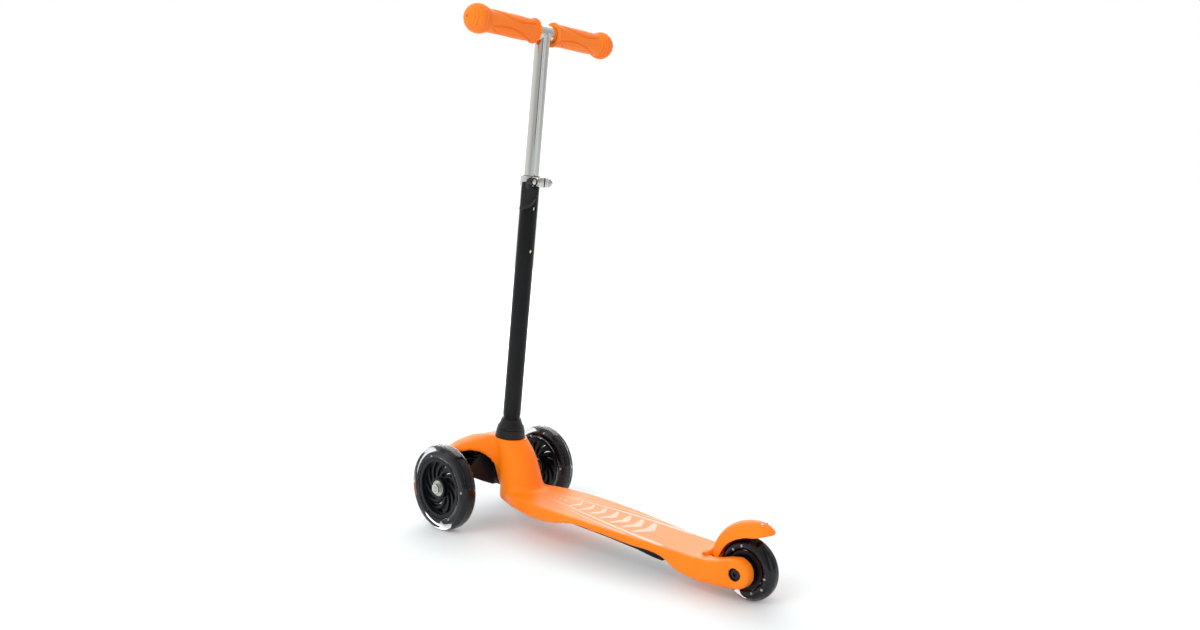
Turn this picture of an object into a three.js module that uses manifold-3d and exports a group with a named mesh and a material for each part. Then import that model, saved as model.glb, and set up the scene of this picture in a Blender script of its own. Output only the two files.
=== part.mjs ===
// A three wheel kids scooter that steers when the rider leans. Millimetres.
// X runs forward, Y to the rider's left and Z up. The floor is at Z = 0.
// The pieces are placed from the front wheels' axle line, and the outermost
// group moves that frame so that the origin lies under the middle of the object.
import * as THREE from "three";
import { mergeVertices } from "three/addons/utils/BufferGeometryUtils.js";
import Module from "manifold-3d";

const wasm = await Module();
wasm.setup();

// Gaps and cutter lengths
const seat_gap = 0.3;
const running_gap = 0.3;
const cut_overrun = 6;
const merge_distance = 0.001;

// Wheels and their bearings
const front_wheel_radius = 60;
const rear_wheel_radius = 37.5;
const wheel_width = 24;
const front_hub_radius = 43;
const rear_hub_radius = 23;
const hub_rim_thickness = 5.5;
const hub_rim_width = 20;
const hub_web_thickness = 9;
const hub_boss_wall = 3.4;
const blade_count = 11;
const bearing_radius = 11;
const bearing_width = 7;
const bearing_spread = 22;
const shield_recess = 0.6;
const axle_radius = 4;
const spacer_wall = 1.4;
const axle_nut_flats = 13;
const axle_nut_thickness = 4.5;
const axle_end_stand = 0.8;
// height above the bore, half width
const tyre_shares = [[0, 0.86], [0.3, 1], [0.66, 0.97], [0.88, 0.78], [1, 0.34]];
const rear_tyre_shares = [[0, 0.84], [0.3, 0.96], [0.58, 0.86], [0.83, 0.58], [1, 0.2]];
const bearing_groove_shares = [0.32, 0.78];

// Footprint
const wheelbase = 449;
const track = 191;

// Stem, collar and telescoping tubes, in a frame whose Z runs up the stem
const stem_lean_degrees = 5.7;
const stem_setback = 31.2;
const stem_length = 568.5;
const socket_depth = 36;
const socket_wall = 4.4;
const lower_tube_radius = 12.7;
const lower_tube_wall = 1.2;
const lower_tube_top = 376;
const tube_neck_radius = 11.9;
const upper_tube_radius = 10.8;
const upper_tube_wall = 1.3;
const upper_tube_overlap = 130;
const bar_radius = 10.8;
const height_hole_radius = 3;
const height_hole_drop = 45;
const height_hole_pitch = 60;
const collar_radius = 21.5;
const collar_taper = 1.4;
const collar_sink = 1.5;
const collar_ring_height = 14;
const collar_groove_depth = 1;
const collar_cone_height = 14.5;
const collar_top_radius = 14;
// height, how far the radius has come down
const cone_shares = [[0, 0], [0.16, 0], [0.42, 0.42], [0.68, 0.76], [1, 1]];
const stem_screw_radius = 2.5;
const stem_screw_head_radius = 4.4;
const stem_screw_head_height = 3;
const stem_screw_drop = 20;
const stem_screw_seat_share = 0.8;

// Handlebar grips
const grip_radius = 14.7;
const grip_inner_end = 11.4;
const grip_lip_radius = 16;
const grip_lip_width = 4;
const knob_radius = 19;
const knob_offset = 113.9;
const bar_half_length = 106;
const grip_end_hole_radius = 1.6;
const grip_end_hole_depth = 3;
const grip_wave_depth = 0.8;
const grip_wave_count = 3;

// Quick release clamp at the top of the lower tube
const clamp_drop = 7.4;
const clamp_height = 13.5;
const clamp_wall = 2.6;
const clamp_slit = 2;
const ear_thickness = 7.4;
const ear_reach = 27.5;
const clamp_bolt_setback = 20;
const cam_pad_radius = 5.6;
const cam_pad_height = 2.6;
const clamp_bolt_radius = 2.5;
const clamp_bolt_eye_radius = 3.9;
const cam_radius = 5.4;
const cam_width = 9;
const lever_pin_radius = 2;
const lever_length = 41;
const lever_thickness = 2.4;
const lever_stand = 0.4;
// direction about the tube in half turns, height of the upper edge
const lever_top_shares = [
  [0.539, -0.044], [0.622, -0.022], [0.694, -0.002], [0.778, 0.02], [0.8, -0.185], [0.956, -0.185],
];
const lever_block_front = 11.5;
const lever_block_side = 13;
const lever_block_height = 2.8;
const clamp_nut_radius = 6;
const clamp_nut_length = 5.4;
const clamp_washer_radius = 6.2;
const clamp_washer_thickness = 1.6;
const clamp_dome_radius = 3.8;
const clamp_dome_height = 5.6;

// Spring button inside the upper tube
const button_radius = 2.6;
const button_head_radius = 4;
const button_head_height = 1.2;
const button_rise = 25;
const leaf_thickness = 0.7;
const leaf_width = 7;
const leaf_length = 34;

// Footboard moulding with its column, hood and rear fork arms
const deck_half_width = 51;
const deck_height = 54;
const deck_wall = 4;
const deck_skin = 4.6;
const deck_top_edge_radius = 5;
const deck_bottom_edge_radius = 4;
// distance back from the front axle, half width, top height, bottom height
const deck_station_shares = [
  [0.067, 0.29, 1.035, 0.713],
  [0.091, 0.506, 1.028, 0.685],
  [0.134, 0.647, 1.019, 0.678],
  [0.174, 0.784, 1.006, 0.67],
  [0.223, 0.892, 1, 0.667],
  [0.278, 0.973, 0.993, 0.648],
  [0.334, 1, 0.985, 0.648],
  [0.383, 0.996, 0.978, 0.689],
  [0.423, 0.98, 0.967, 0.752],
  [0.459, 0.957, 0.957, 0.8],
  [0.557, 0.912, 0.922, 0.759],
  [0.668, 0.824, 0.878, 0.681],
  [0.724, 0.765, 0.856, 0.659],
  [0.764, 0.725, 0.839, 0.602],
  [0.788, 0.718, 0.831, 0.519],
  [0.815, 0.718, 0.824, 0.407],
  [0.857, 0.716, 0.815, 0.344],
  [0.902, 0.706, 0.833, 0.322],
  [0.947, 0.678, 0.907, 0.33],
  [0.973, 0.663, 0.978, 0.35],
];
const fork_half_width = 33;
const fork_end_radius = 17.5;
const fork_end_taper = 2.5;
const fork_end_degrees = [0, 28, 52, 72, 86];
const fork_gap_half_width = 15.5;
const wheel_arch_clearance = 6;
const fork_boss_radius = 7;
const recess_radius = 7.5;
const recess_depth = 8;
const axle_head_radius = 6.2;
const axle_head_height = 5.2;
const axle_socket_flats = 5;
const axle_socket_depth = 3;
const pocket_front_share = 0.17;
const pocket_rear_share = 0.868;
const rib_thickness = 2.4;
const rib_depth = 5.4;
const rib_count = 5;
const spine_offset = 16;

// Plate under the footboard
const plate_half_width = 34.5;
const plate_thickness = 6.2;
// distance back, thickness
const plate_shares = [[0.423, 0.516], [0.557, 0.548], [0.668, 0.694], [0.724, 0.839], [0.764, 1], [0.774, 1]];
const plate_flange_start_share = 0.685;
const plate_flange_end_share = 0.75;
const plate_flange_inset = 1.2;
const plate_flange_thickness = 1.5;
const plate_lip = 0.4;

// Column from the footboard up to the collar
const column_radius = 31;
const column_setback = 57.5;
// height up to the collar seat, setback, radius
const column_shares = [
  [0.36, 1.043, 1.08],
  [0.41, 1.035, 1.05],
  [0.485, 1, 1],
  [0.582, 0.937, 0.977],
  [0.679, 0.882, 0.945],
  [0.768, 0.835, 0.897],
  [0.833, 0.795, 0.848],
  [0.905, 0.704, 0.806],
  [0.97, 0.591, 0.761],
  [1.012, 0.557, 0.729],
];
const column_sides = 20;
const column_hollow_share = 0.72;

// Hood that arches over the steering
const hood_half_span = 73.5;
const hood_front = 41;
const hood_rear = 52;
const hood_headroom = 34.9;
const hood_crown_stand = 1.8;
const hood_wall = 3.5;
const nose_wall = 10;
const hood_roundness = 2.6;
const hood_arc_steps = 8;
// distance out, rear reach, front reach, top height, rim height
const hood_shares = [
  [0, 1, 1, 1, 0.392],
  [0.11, 1, 1, 1, 0.402],
  [0.19, 0.92, 0.99, 0.998, 0.44],
  [0.26, 0.81, 0.985, 0.994, 0.56],
  [0.34, 0.5, 0.98, 0.985, 0.685],
  [0.408, 0.423, 0.97, 0.974, 0.749],
  [0.476, 0.308, 0.96, 0.96, 0.794],
  [0.571, 0.158, 0.945, 0.941, 0.823],
  [0.68, 0.019, 0.925, 0.918, 0.83],
  [0.789, -0.11, 0.9, 0.89, 0.82],
  [0.898, -0.246, 0.865, 0.872, 0.831],
  [1, -0.35, 0.8, 0.86, 0.837],
];

// Leaning carriage
const lean_stand = 4;
const lean_bolt_radius = 5;
const lean_bolt_flats = 16;
const lean_bolt_head_height = 6;
const lean_bolt_grip = 32;
const carriage_rear = 24.5;
const bush_wall = 2.4;
const bush_flange_radius = 12;
const bush_flange_thickness = 2;
const bush_length = 18;
const barrel_radius = 15;
const beam_depth = 18;
const kingpin_offset = 66;
const kingpin_radius = 4;
const kingpin_head_radius = 6.4;
const kingpin_head_height = 4;
const kingpin_boss_radius = 9.5;
const kingpin_boss_lift = 5;
const kingpin_boss_length = 14;
// screen outline on one side: distance out to the kingpin, height up the hood
const screen_thickness = 1.8;
const screen_shares = [
  [0.197, 0.402], [0.455, 0.458], [0.682, 0.514], [0.818, 0.553], [0.841, 0.637],
  [0.727, 0.717], [0.583, 0.765], [0.492, 0.805], [0.439, 0.825], [0.303, 0.825],
];
// beam outline on one side: distance out, height between the boss bottom's and the boss top's
const beam_under_shares = [[0.2, -1.15], [0.45, -0.62], [0.72, 0.02], [1, 0.1]];
const beam_over_shares = [[1, 0.92], [0.72, 0.82], [0.42, 0.8], [0.2, 0.75]];
const knuckle_drop = 10;
const knuckle_radius = 10;
const stub_radius = 8.4;
const stub_nose_radius = 6.2;
const stub_nose_length = 4;
const axle_bury = 9;

// Steering linkage: a peg in the hood moves the tie rod
const steer_per_lean = 1.5;
const arm_thickness = 4;
const arm_eye_radius = 8;
const arm_pin_eye_radius = 5.4;
const tie_rod_thickness = 3;
const tie_rod_half_width = 4.5;
const tie_rod_boss_radius = 9;
const tie_pin_radius = 3;
const tie_pin_head_radius = 4;
const tie_pin_head_height = 1.5;
const peg_radius = 4;
const peg_play = 1;
const peg_reach = 4.6;
const peg_boss_radius = 8;
const peg_boss_drop = 22;
const peg_bury = 16;

// Centring springs between the carriage and the hood
const spring_offset = 36;
const spring_radius = 6;
const spring_wire_radius = 0.9;
const spring_turns = 5;
const spring_seat_drop = 21.5;
const spring_seat_radius = 6.9;
const gap_samples_per_turn = 24;
const spring_steps_per_turn = 8;
const spring_sides = 5;

// Rear brake fender
const fender_pin_reach = 52.1;
const fender_pin_height = 44;
const fender_pin_radius = 2;
const fender_pin_half_length = 18.5;
const lug_inset = 1;
const lug_radius = 4.4;
const fender_eye_radius = 4.6;
const fender_eye_half_width = 12;
const fender_eye_gap = 4;
const fender_thickness = 3;
const fender_radius = 60;
const fender_crown = 15.5;
const fender_crown_power = 2.3;
const fender_half_width = 17;
// direction from the rear axle in quarter turns, radius, half width, crown
const fender_shares = [
  [0.08, 0.87, 0.6, 0],
  [0.23, 0.867, 0.62, 0.03],
  [0.36, 0.867, 0.66, 0.12],
  [0.48, 0.871, 0.72, 0.3],
  [0.62, 0.885, 0.83, 0.62],
  [0.76, 0.908, 0.92, 0.9],
  [0.9, 0.935, 0.98, 1],
  [1.04, 0.97, 1, 0.86],
  [1.17, 1, 0.96, 0.62],
  [1.28, 1.006, 0.8, 0.46],
  [1.36, 1, 0.5, 0.34],
];
const fender_arc_steps = 8;
const fender_pocket_half_width = 12.6;
const brake_plate_thickness = 1.6;
const brake_plate_half_width = 7;
const brake_plate_drop = 5.4;
// direction from the rear axle in quarter turns, gap under the fender
const brake_plate_shares = [
  [0.74, 0.222], [0.82, 0.593], [0.92, 0.963], [1.02, 1], [1.1, 0.667], [1.16, 0.111], [1.24, 0.111],
];
const rivet_share = 1.2;
const rivet_radius = 1.7;
const rivet_offset = 4.5;
const rivet_stand = 0.9;
const torsion_radius = 3.3;
const torsion_wire_radius = 0.45;
const torsion_turns = 2.2;
const torsion_pitch = 1.35;
const torsion_leg = 5;

// Sides of the round pieces
const wheel_sides = 40;
const hub_sides = 24;
const edge_steps = 2;
const tube_sides = 20;
const bearing_sides = 18;
const small_sides = 14;
const tiny_sides = 12;

// Places worked out from the sizes above
const stem_lean = THREE.MathUtils.degToRad(stem_lean_degrees);
const rear_axle_x = -wheelbase;
const wheel_y = track / 2;
const bearing_face = bearing_spread / 2;
const lean_height = front_wheel_radius + lean_stand;
const knuckle_bottom = front_wheel_radius - knuckle_drop;
const kingpin_boss_bottom = lean_height + kingpin_boss_lift;
const kingpin_boss_top = kingpin_boss_bottom + kingpin_boss_length;
const tie_rod_bottom = kingpin_boss_top + running_gap + arm_thickness + running_gap;
const tie_rod_middle = tie_rod_bottom + tie_rod_thickness / 2;
const steering_arm_length = (tie_rod_middle - lean_height) / steer_per_lean;
const hood_height = tie_rod_bottom + tie_rod_thickness + hood_headroom;
const stem_seat_height = hood_height - hood_crown_stand;
const spring_seat_height = hood_height - spring_seat_drop;
const clamp_level = lower_tube_top - clamp_drop;
const length_offset = (wheelbase + rear_wheel_radius - front_wheel_radius) / 2;

// Solids and meshes

// A closed geometry as a solid whose faces point out.
function solid(geometry) {
  const bare = new THREE.BufferGeometry();
  const flat = geometry.index ? geometry.toNonIndexed() : geometry;
  bare.setAttribute("position", flat.getAttribute("position"));
  const merged = mergeVertices(bare, merge_distance);
  const vertProperties = new Float32Array(merged.getAttribute("position").array);
  const corners = merged.index.array;
  const kept = [];
  for (let i = 0; i < corners.length; i += 3) {
    const [a, b, c] = [corners[i], corners[i + 1], corners[i + 2]];
    if (a !== b && b !== c && c !== a) kept.push(a, b, c);
  }
  const make = (order) => {
    const triVerts = new Uint32Array(order);
    return new wasm.Manifold(new wasm.Mesh({ numProp: 3, vertProperties, triVerts }));
  };
  const made = make(kept);
  return made.volume() < 0 ? make(kept.reverse()) : made;
}

// A solid's faces as a geometry.
function geometryOf(body) {
  const mesh = body.getMesh();
  const positions = new Float32Array(mesh.numVert * 3);
  for (let i = 0; i < mesh.numVert; i++) {
    const first = i * mesh.numProp;
    positions.set(mesh.vertProperties.subarray(first, first + 3), i * 3);
  }
  const geometry = new THREE.BufferGeometry();
  geometry.setAttribute("position", new THREE.BufferAttribute(positions, 3));
  geometry.setIndex(new THREE.BufferAttribute(mesh.triVerts, 1));
  geometry.computeVertexNormals();
  return geometry;
}

function join(...geometries) {
  return geometries.map(asSolid).reduce((all, next) => all.add(next));
}

function cut(body, ...geometries) {
  return geometries.map(asSolid).reduce((left, next) => left.subtract(next), asSolid(body));
}

function asSolid(shape) {
  return shape.isBufferGeometry ? solid(shape) : shape;
}

function finish(color, roughness, metalness) {
  return new THREE.MeshStandardMaterial({ color, roughness, metalness });
}

function piece(name, shape, material) {
  const mesh = new THREE.Mesh(geometryOf(asSolid(shape)), material);
  mesh.name = name;
  return mesh;
}

// Basic shapes

const axis_turns = {
  x: new THREE.Matrix4().makeRotationZ(-Math.PI / 2),
  y: new THREE.Matrix4(),
  z: new THREE.Matrix4().makeRotationX(Math.PI / 2),
};

// A profile of [radius, place along the axis] points, turned about X, Y or Z.
function turned(profile, axis, sides) {
  const points = profile.map(([radius, along]) => new THREE.Vector2(radius, along));
  return new THREE.LatheGeometry(points, sides).applyMatrix4(axis_turns[axis]);
}

function rod(radius, from, to, axis, sides = small_sides) {
  return turned([[0, from], [radius, from], [radius, to], [0, to]], axis, sides);
}

function ring(outer, inner, from, to, axis, sides = small_sides) {
  const profile = [[inner, from], [outer, from], [outer, to], [inner, to], [inner, from]];
  return turned(profile, axis, sides);
}

function hexagon(flats, from, to, axis) {
  return rod(flats / 2 / Math.cos(Math.PI / 6), from, to, axis, 6);
}

function slab([x0, x1], [y0, y1], [z0, z1]) {
  const box = new THREE.BoxGeometry(x1 - x0, y1 - y0, z1 - z0);
  return box.translate((x0 + x1) / 2, (y0 + y1) / 2, (z0 + z1) / 2);
}

// A closed surface through rings of points, with flat ends.
function loft(rings) {
  const positions = [];
  const put = (...points) => points.forEach((p) => positions.push(p.x, p.y, p.z));
  const count = rings[0].length;
  for (let i = 0; i + 1 < rings.length; i++) {
    for (let j = 0; j < count; j++) {
      const k = (j + 1) % count;
      const [a, b] = [rings[i][j], rings[i][k]];
      const [c, d] = [rings[i + 1][k], rings[i + 1][j]];
      put(a, b, c, a, c, d);
    }
  }
  const cap = (points, turn) => {
    const middle = new THREE.Vector3();
    points.forEach((p) => middle.addScaledVector(p, 1 / count));
    points.forEach((p, j) => {
      const next = points[(j + 1) % count];
      if (turn) put(middle, next, p);
      else put(middle, p, next);
    });
  };
  cap(rings[0], true);
  cap(rings[rings.length - 1], false);
  const geometry = new THREE.BufferGeometry();
  return geometry.setAttribute("position", new THREE.Float32BufferAttribute(positions, 3));
}

// An outline of [across, up] points in the YZ plane, pushed along X.
function plateAcross(outline, x0, x1) {
  const shape = new THREE.Shape(outline.map(([y, z]) => new THREE.Vector2(y, z)));
  const pushed = new THREE.ExtrudeGeometry(shape, { depth: x1 - x0, bevelEnabled: false });
  const [x, y, z] = [[1, 0, 0], [0, 1, 0], [0, 0, 1]].map((v) => new THREE.Vector3(...v));
  return pushed.applyMatrix4(new THREE.Matrix4().makeBasis(y, z, x)).translate(x0, 0, 0);
}

function at(geometry, x, y, z) {
  return geometry.translate(x, y, z);
}

// Wheels: each is made about its own centre with its axle along Y.

// A polygon whose flats, not its corners, touch the given radius, with one flat at the bottom.
function wheelTurned(profile) {
  const spread = 1 / Math.cos(Math.PI / wheel_sides);
  const points = profile.map(([radius, along]) => new THREE.Vector2(radius * spread, along));
  return new THREE.LatheGeometry(points, wheel_sides, Math.PI / wheel_sides);
}

function tyre(radius, hub_radius, shares) {
  const bore = hub_radius + seat_gap;
  const half = wheel_width / 2;
  const side = shares.map(([up, out]) => [bore + up * (radius - bore), out * half]);
  const other = side.map(([r, y]) => [r, -y]).reverse();
  const loop = [...side, ...other];
  return wheelTurned([...loop, loop[0]]);
}

// A curved opening between two swept blades of the hub.
function bladeOpening(inner, outer, index) {
  const steps = 3;
  const pitch = (2 * Math.PI) / blade_count;
  const sweep = 1.5 * pitch;
  const spiral = (side) => (share) => {
    const radius = inner + share * (outer - inner);
    const angle = index * pitch + sweep * share + side * pitch * 0.29;
    return new THREE.Vector2(radius * Math.cos(angle), radius * Math.sin(angle));
  };
  const stations = Array.from({ length: steps + 1 }, (_, i) => i / steps);
  const one = stations.map(spiral(-1));
  const back = stations.map(spiral(1)).reverse();
  const shape = new THREE.Shape([...one, ...back]);
  const depth = 2 * cut_overrun + hub_web_thickness;
  const pushed = new THREE.ExtrudeGeometry(shape, { depth, bevelEnabled: false });
  return pushed.translate(0, 0, -depth / 2).rotateX(Math.PI / 2);
}

function hub(hub_radius, with_blades) {
  const boss = bearing_radius + running_gap + hub_boss_wall;
  const rim = hub_radius - hub_rim_thickness;
  const [web, edge, face] = [hub_web_thickness / 2, hub_rim_width / 2, bearing_face];
  const bore = axle_radius + spacer_wall + 2 * running_gap;
  const seat = bearing_radius + running_gap;
  const shoulder = bearing_face - bearing_width;
  const side = [
    [bore, 0], [bore, shoulder], [seat, shoulder], [seat, face], [boss, face],
    [boss, web], [rim, web], [rim, edge], [hub_radius, edge],
  ];
  const other = side.slice(1).map(([r, y]) => [r, -y]).reverse();
  const body = solid(turned([...side, ...other, side[0]], "y", hub_sides));
  if (!with_blades) return body;
  const openings = Array.from({ length: blade_count }, (_, i) =>
    bladeOpening(boss + hub_boss_wall / 2, rim - hub_rim_thickness / 4, i));
  return cut(body, ...openings);
}

function bearing() {
  const bore = axle_radius + running_gap;
  const groove = bearing_groove_shares.map((share) => bore + share * (bearing_radius - bore));
  const deep = bearing_width - shield_recess;
  const profile = [
    [bore, 0], [bearing_radius, 0], [bearing_radius, bearing_width], [groove[1], bearing_width],
    [groove[1], deep], [groove[0], deep], [groove[0], bearing_width], [bore, bearing_width],
    [bore, 0],
  ];
  return turned(profile, "y", bearing_sides);
}

// A bearing on the hidden side, without its shield's groove.
function plainBearing() {
  return ring(bearing_radius, axle_radius + running_gap, 0, bearing_width, "y", bearing_sides);
}

function spacer() {
  const half = bearing_face - bearing_width - seat_gap;
  const bore = axle_radius + running_gap;
  return ring(bore + spacer_wall - running_gap, bore, -half, half, "y");
}

// The open side, 1 on the left and -1 on the right, shows its bearing's shield.
function wheel(name, radius, hub_radius, shares, with_blades, open_side) {
  const group = new THREE.Group();
  const bearings = [1, -1].map((side) => {
    const shape = side === open_side ? bearing() : plainBearing();
    const mesh = piece(`${name}_bearing_${side > 0 ? "left" : "right"}`, shape, steel);
    mesh.position.y = side * (bearing_face - bearing_width);
    if (side < 0) mesh.rotation.z = Math.PI;
    return mesh;
  });
  group.add(
    piece(`${name}_tyre`, tyre(radius, hub_radius, shares), clear_tyre),
    piece(`${name}_hub`, hub(hub_radius, with_blades), black_plastic),
    ...bearings,
    piece(`${name}_spacer`, spacer(), steel),
  );
  return group;
}

// Footboard moulding

function shared(shares, sizes) {
  return shares.map((row) => row.map((share, i) => share * sizes[i]));
}

// Half width, top and bottom of the footboard at each station, from front to rear.
function deckStations() {
  const sizes = [-wheelbase, deck_half_width, deck_height, deck_height];
  const stations = shared(deck_station_shares, sizes);
  fork_end_degrees.forEach((degrees) => {
    const angle = THREE.MathUtils.degToRad(degrees);
    const reach = fork_end_radius * Math.sin(angle);
    const rise = fork_end_radius * Math.cos(angle);
    const half = fork_half_width - fork_end_taper * Math.sin(angle);
    const axle = rear_wheel_radius;
    stations.push([rear_axle_x - reach, half, axle + rise, axle - rise]);
  });
  return stations;
}

// The footboard's half width, top and bottom at any distance back.
function deckAt(x) {
  const stations = deckStations();
  const i = Math.max(1, stations.findIndex((row) => row[0] <= x));
  const [before, after] = [stations[i - 1], stations[i]];
  const share = (x - before[0]) / (after[0] - before[0]);
  return before.map((value, k) => value + share * (after[k] - value));
}

// A rounded rectangle across the footboard.
function crossSection(x, half, top, bottom, top_radius, bottom_radius) {
  const side = [];
  const arc = (radius, centre_z, start) => {
    for (let i = 0; i <= edge_steps; i++) {
      const angle = start + (i * Math.PI) / 2 / edge_steps;
      side.push([half - radius + radius * Math.cos(angle), centre_z + radius * Math.sin(angle)]);
    }
  };
  arc(bottom_radius, bottom + bottom_radius, -Math.PI / 2);
  arc(top_radius, top - top_radius, 0);
  const left = side.map(([y, z]) => new THREE.Vector3(x, y, z));
  const right = side.map(([y, z]) => new THREE.Vector3(x, -y, z)).reverse();
  return [...left, ...right];
}

function deckBody() {
  return loft(deckStations().map(([x, half, top, bottom]) => {
    const limit = 0.45 * (top - bottom);
    const top_radius = Math.min(deck_top_edge_radius, limit);
    const bottom_radius = Math.min(deck_bottom_edge_radius, limit);
    return crossSection(x, half, top, bottom, top_radius, bottom_radius);
  }));
}

// The hollow under the footboard between two depths below its top.
function deckHollow(front, rear, side_inset, from_depth, to_depth) {
  const places = deckStations().map(([x]) => x).filter((x) => x < front && x > rear);
  const rings = [front, ...places, rear].map((x) => {
    const [, half, top] = deckAt(x);
    const inside = half - side_inset;
    return [[inside, -to_depth], [inside, -from_depth], [-inside, -from_depth], [-inside, -to_depth]]
      .map(([y, z]) => new THREE.Vector3(x, y, top + z));
  });
  return solid(loft(rings));
}

function deckPocket() {
  const [front, rear] = [-wheelbase * pocket_front_share, -wheelbase * pocket_rear_share];
  const pocket = deckHollow(front, rear, deck_wall, deck_skin, deck_height);
  const rib_space = deckHollow(front, rear, deck_wall, deck_skin, deck_skin + rib_depth);
  const high = [0, deck_height];
  const wide = [-deck_half_width, deck_half_width];
  const half = rib_thickness / 2;
  const ribs = [-spine_offset, spine_offset].map((y) => slab([rear, front], [y - half, y + half], high));
  for (let i = 1; i <= rib_count; i++) {
    const x = front + ((rear - front) * i) / (rib_count + 1);
    ribs.push(slab([x - half, x + half], wide, high));
  }
  return pocket.subtract(rib_space.intersect(join(...ribs)));
}

// The hollow inside the column, open below, with a web along its middle and a boss for the bolt.
function columnHollow() {
  const sizes = [stem_seat_height, -column_setback, column_radius];
  const rows = shared(column_shares, sizes).filter(([z]) => z < stem_seat_height * column_hollow_share);
  const [first] = rows;
  const inside = [[0, first[1], first[2]], ...rows]
    .map(([z, x, radius]) => circleRing(x, z, radius - deck_wall, column_sides));
  const front = -carriage_rear - deck_wall;
  const far = column_setback + column_radius;
  const wide = [-column_radius, column_radius];
  const room = solid(loft(inside)).intersect(solid(slab([-far, front], wide, [0, stem_seat_height])));
  const web = slab([-far, front], [-deck_wall / 2, deck_wall / 2], [0, stem_seat_height]);
  const boss_radius = lean_bolt_radius + running_gap + deck_wall;
  const bolt_boss = at(rod(boss_radius, -far, front, "x", tube_sides), 0, 0, lean_height);
  const socket = onStem(rod(lower_tube_radius + seat_gap + socket_wall, -stem_length, 0, "z", tube_sides));
  return cut(room, web, bolt_boss, socket);
}

function circleRing(x, z, radius, sides) {
  return Array.from({ length: sides }, (_, i) => {
    const angle = (2 * Math.PI * i) / sides;
    return new THREE.Vector3(x + radius * Math.cos(angle), radius * Math.sin(angle), z);
  });
}

function columnBody() {
  const sizes = [stem_seat_height, -column_setback, column_radius];
  return loft(shared(column_shares, sizes).map(([z, x, radius]) => circleRing(x, z, radius, column_sides)));
}

// An arched section of the hood at one distance out, its walls drawn in by an inset.
function hoodSection(y, rear, front, top, rim, inset, front_inset, drop) {
  const [low, high] = [rear + inset, front - front_inset];
  const [middle, half] = [(low + high) / 2, (high - low) / 2];
  const rise = top - inset - rim;
  const power = 2 / hood_roundness;
  const points = [];
  for (let i = 0; i <= hood_arc_steps; i++) {
    const angle = (Math.PI * i) / hood_arc_steps;
    const across = Math.sign(Math.cos(angle)) * Math.abs(Math.cos(angle)) ** power;
    const z = rim + rise * Math.abs(Math.sin(angle)) ** power;
    points.push(new THREE.Vector3(middle + half * across, y, z));
  }
  if (drop > 0) {
    points.push(new THREE.Vector3(low, y, rim - drop), new THREE.Vector3(high, y, rim - drop));
  }
  return points;
}

function hoodRows() {
  const sizes = [hood_half_span, -hood_rear, hood_front, hood_height, hood_height];
  const half = shared(hood_shares, sizes);
  const mirrored = half.slice(1).map(([y, ...rest]) => [-y, ...rest]).reverse();
  return [...mirrored, ...half];
}

function hoodBody() {
  return loft(hoodRows().map(([y, ...row]) => hoodSection(y, ...row, 0, 0, 0)));
}

// The space inside the hood, open below, where the carriage rocks.
function hoodCavity() {
  const reach = (hood_half_span - hood_wall) / hood_half_span;
  const rows = hoodRows().map(([y, rear, front, top, rim]) => {
    const from_middle = Math.abs(y) / hood_half_span;
    const nose_share = THREE.MathUtils.clamp((0.42 - from_middle) / 0.1, 0, 1);
    const front_inset = hood_wall + nose_share * (nose_wall - hood_wall);
    const flat_top = Math.max(top, rim + hood_wall * 2);
    return hoodSection(y * reach, rear, front, flat_top, rim, hood_wall, front_inset, rim);
  });
  const inside = solid(loft(rows));
  const wide = [-hood_half_span, hood_half_span];
  return inside.intersect(solid(slab([-carriage_rear, hood_front], wide, [0, hood_height])));
}

const stem_matrix = new THREE.Matrix4().compose(
  new THREE.Vector3(-stem_setback, 0, stem_seat_height),
  new THREE.Quaternion().setFromEuler(new THREE.Euler(0, -stem_lean, 0)),
  new THREE.Vector3(1, 1, 1),
);

// A geometry made in the stem's frame, moved to the footboard's.
function onStem(geometry) {
  return geometry.applyMatrix4(stem_matrix);
}

function wheelArch() {
  const radius = rear_wheel_radius + wheel_arch_clearance;
  const half = fork_gap_half_width;
  const round = at(rod(radius, -half, half, "y", wheel_sides), rear_axle_x, 0, rear_wheel_radius);
  const back = rear_axle_x - radius;
  const open = slab([back, rear_axle_x], [-half, half], [-radius, rear_wheel_radius + radius]);
  return join(round, open);
}

function fenderPocket() {
  const [x] = fenderPinPlace();
  const low = fender_pin_height - fender_eye_radius - running_gap * 2;
  const half = fender_pocket_half_width;
  const front = x + fender_eye_radius + running_gap * 2;
  const high = deck_height + cut_overrun;
  return slab([rear_axle_x, front], [-half, half], [low, high]);
}

function forkBosses() {
  const [inner, outer] = [bearing_face + seat_gap, fork_gap_half_width + hood_wall];
  return [[inner, outer], [-outer, -inner]].map(([from, to]) =>
    at(rod(fork_boss_radius, from, to, "y"), rear_axle_x, 0, rear_wheel_radius));
}

function rearAxleCuts() {
  const deep = fork_half_width - recess_depth;
  const far = fork_half_width + cut_overrun;
  const shapes = [
    rod(axle_radius + running_gap, -far, far, "y"),
    rod(recess_radius, deep, far, "y", 24),
    rod(recess_radius, -far, -deep, "y", 24),
  ];
  return shapes.map((shape) => at(shape, rear_axle_x, 0, rear_wheel_radius));
}

function leanCuts() {
  const hole = lean_bolt_radius + running_gap;
  const rear = -carriage_rear - lean_bolt_grip;
  return [at(rod(hole, rear, hood_front + cut_overrun, "x"), 0, 0, lean_height)];
}

function springSeats() {
  return [-1, 1].map((side) => {
    const seat = rod(spring_seat_radius, spring_seat_height, hood_height * 0.93, "z");
    return at(seat, 0, side * spring_offset, 0);
  });
}

function pegBoss() {
  const top = hood_height - hood_wall - running_gap;
  return at(rod(peg_boss_radius, top - peg_boss_drop, top, "z"), steering_arm_length, 0, 0);
}

function pegHole() {
  const bottom = hood_height - hood_wall - peg_boss_drop - cut_overrun;
  const hole = rod(peg_radius + seat_gap, bottom, pegTop() + seat_gap, "z");
  return at(hole, steering_arm_length, 0, 0);
}

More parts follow.
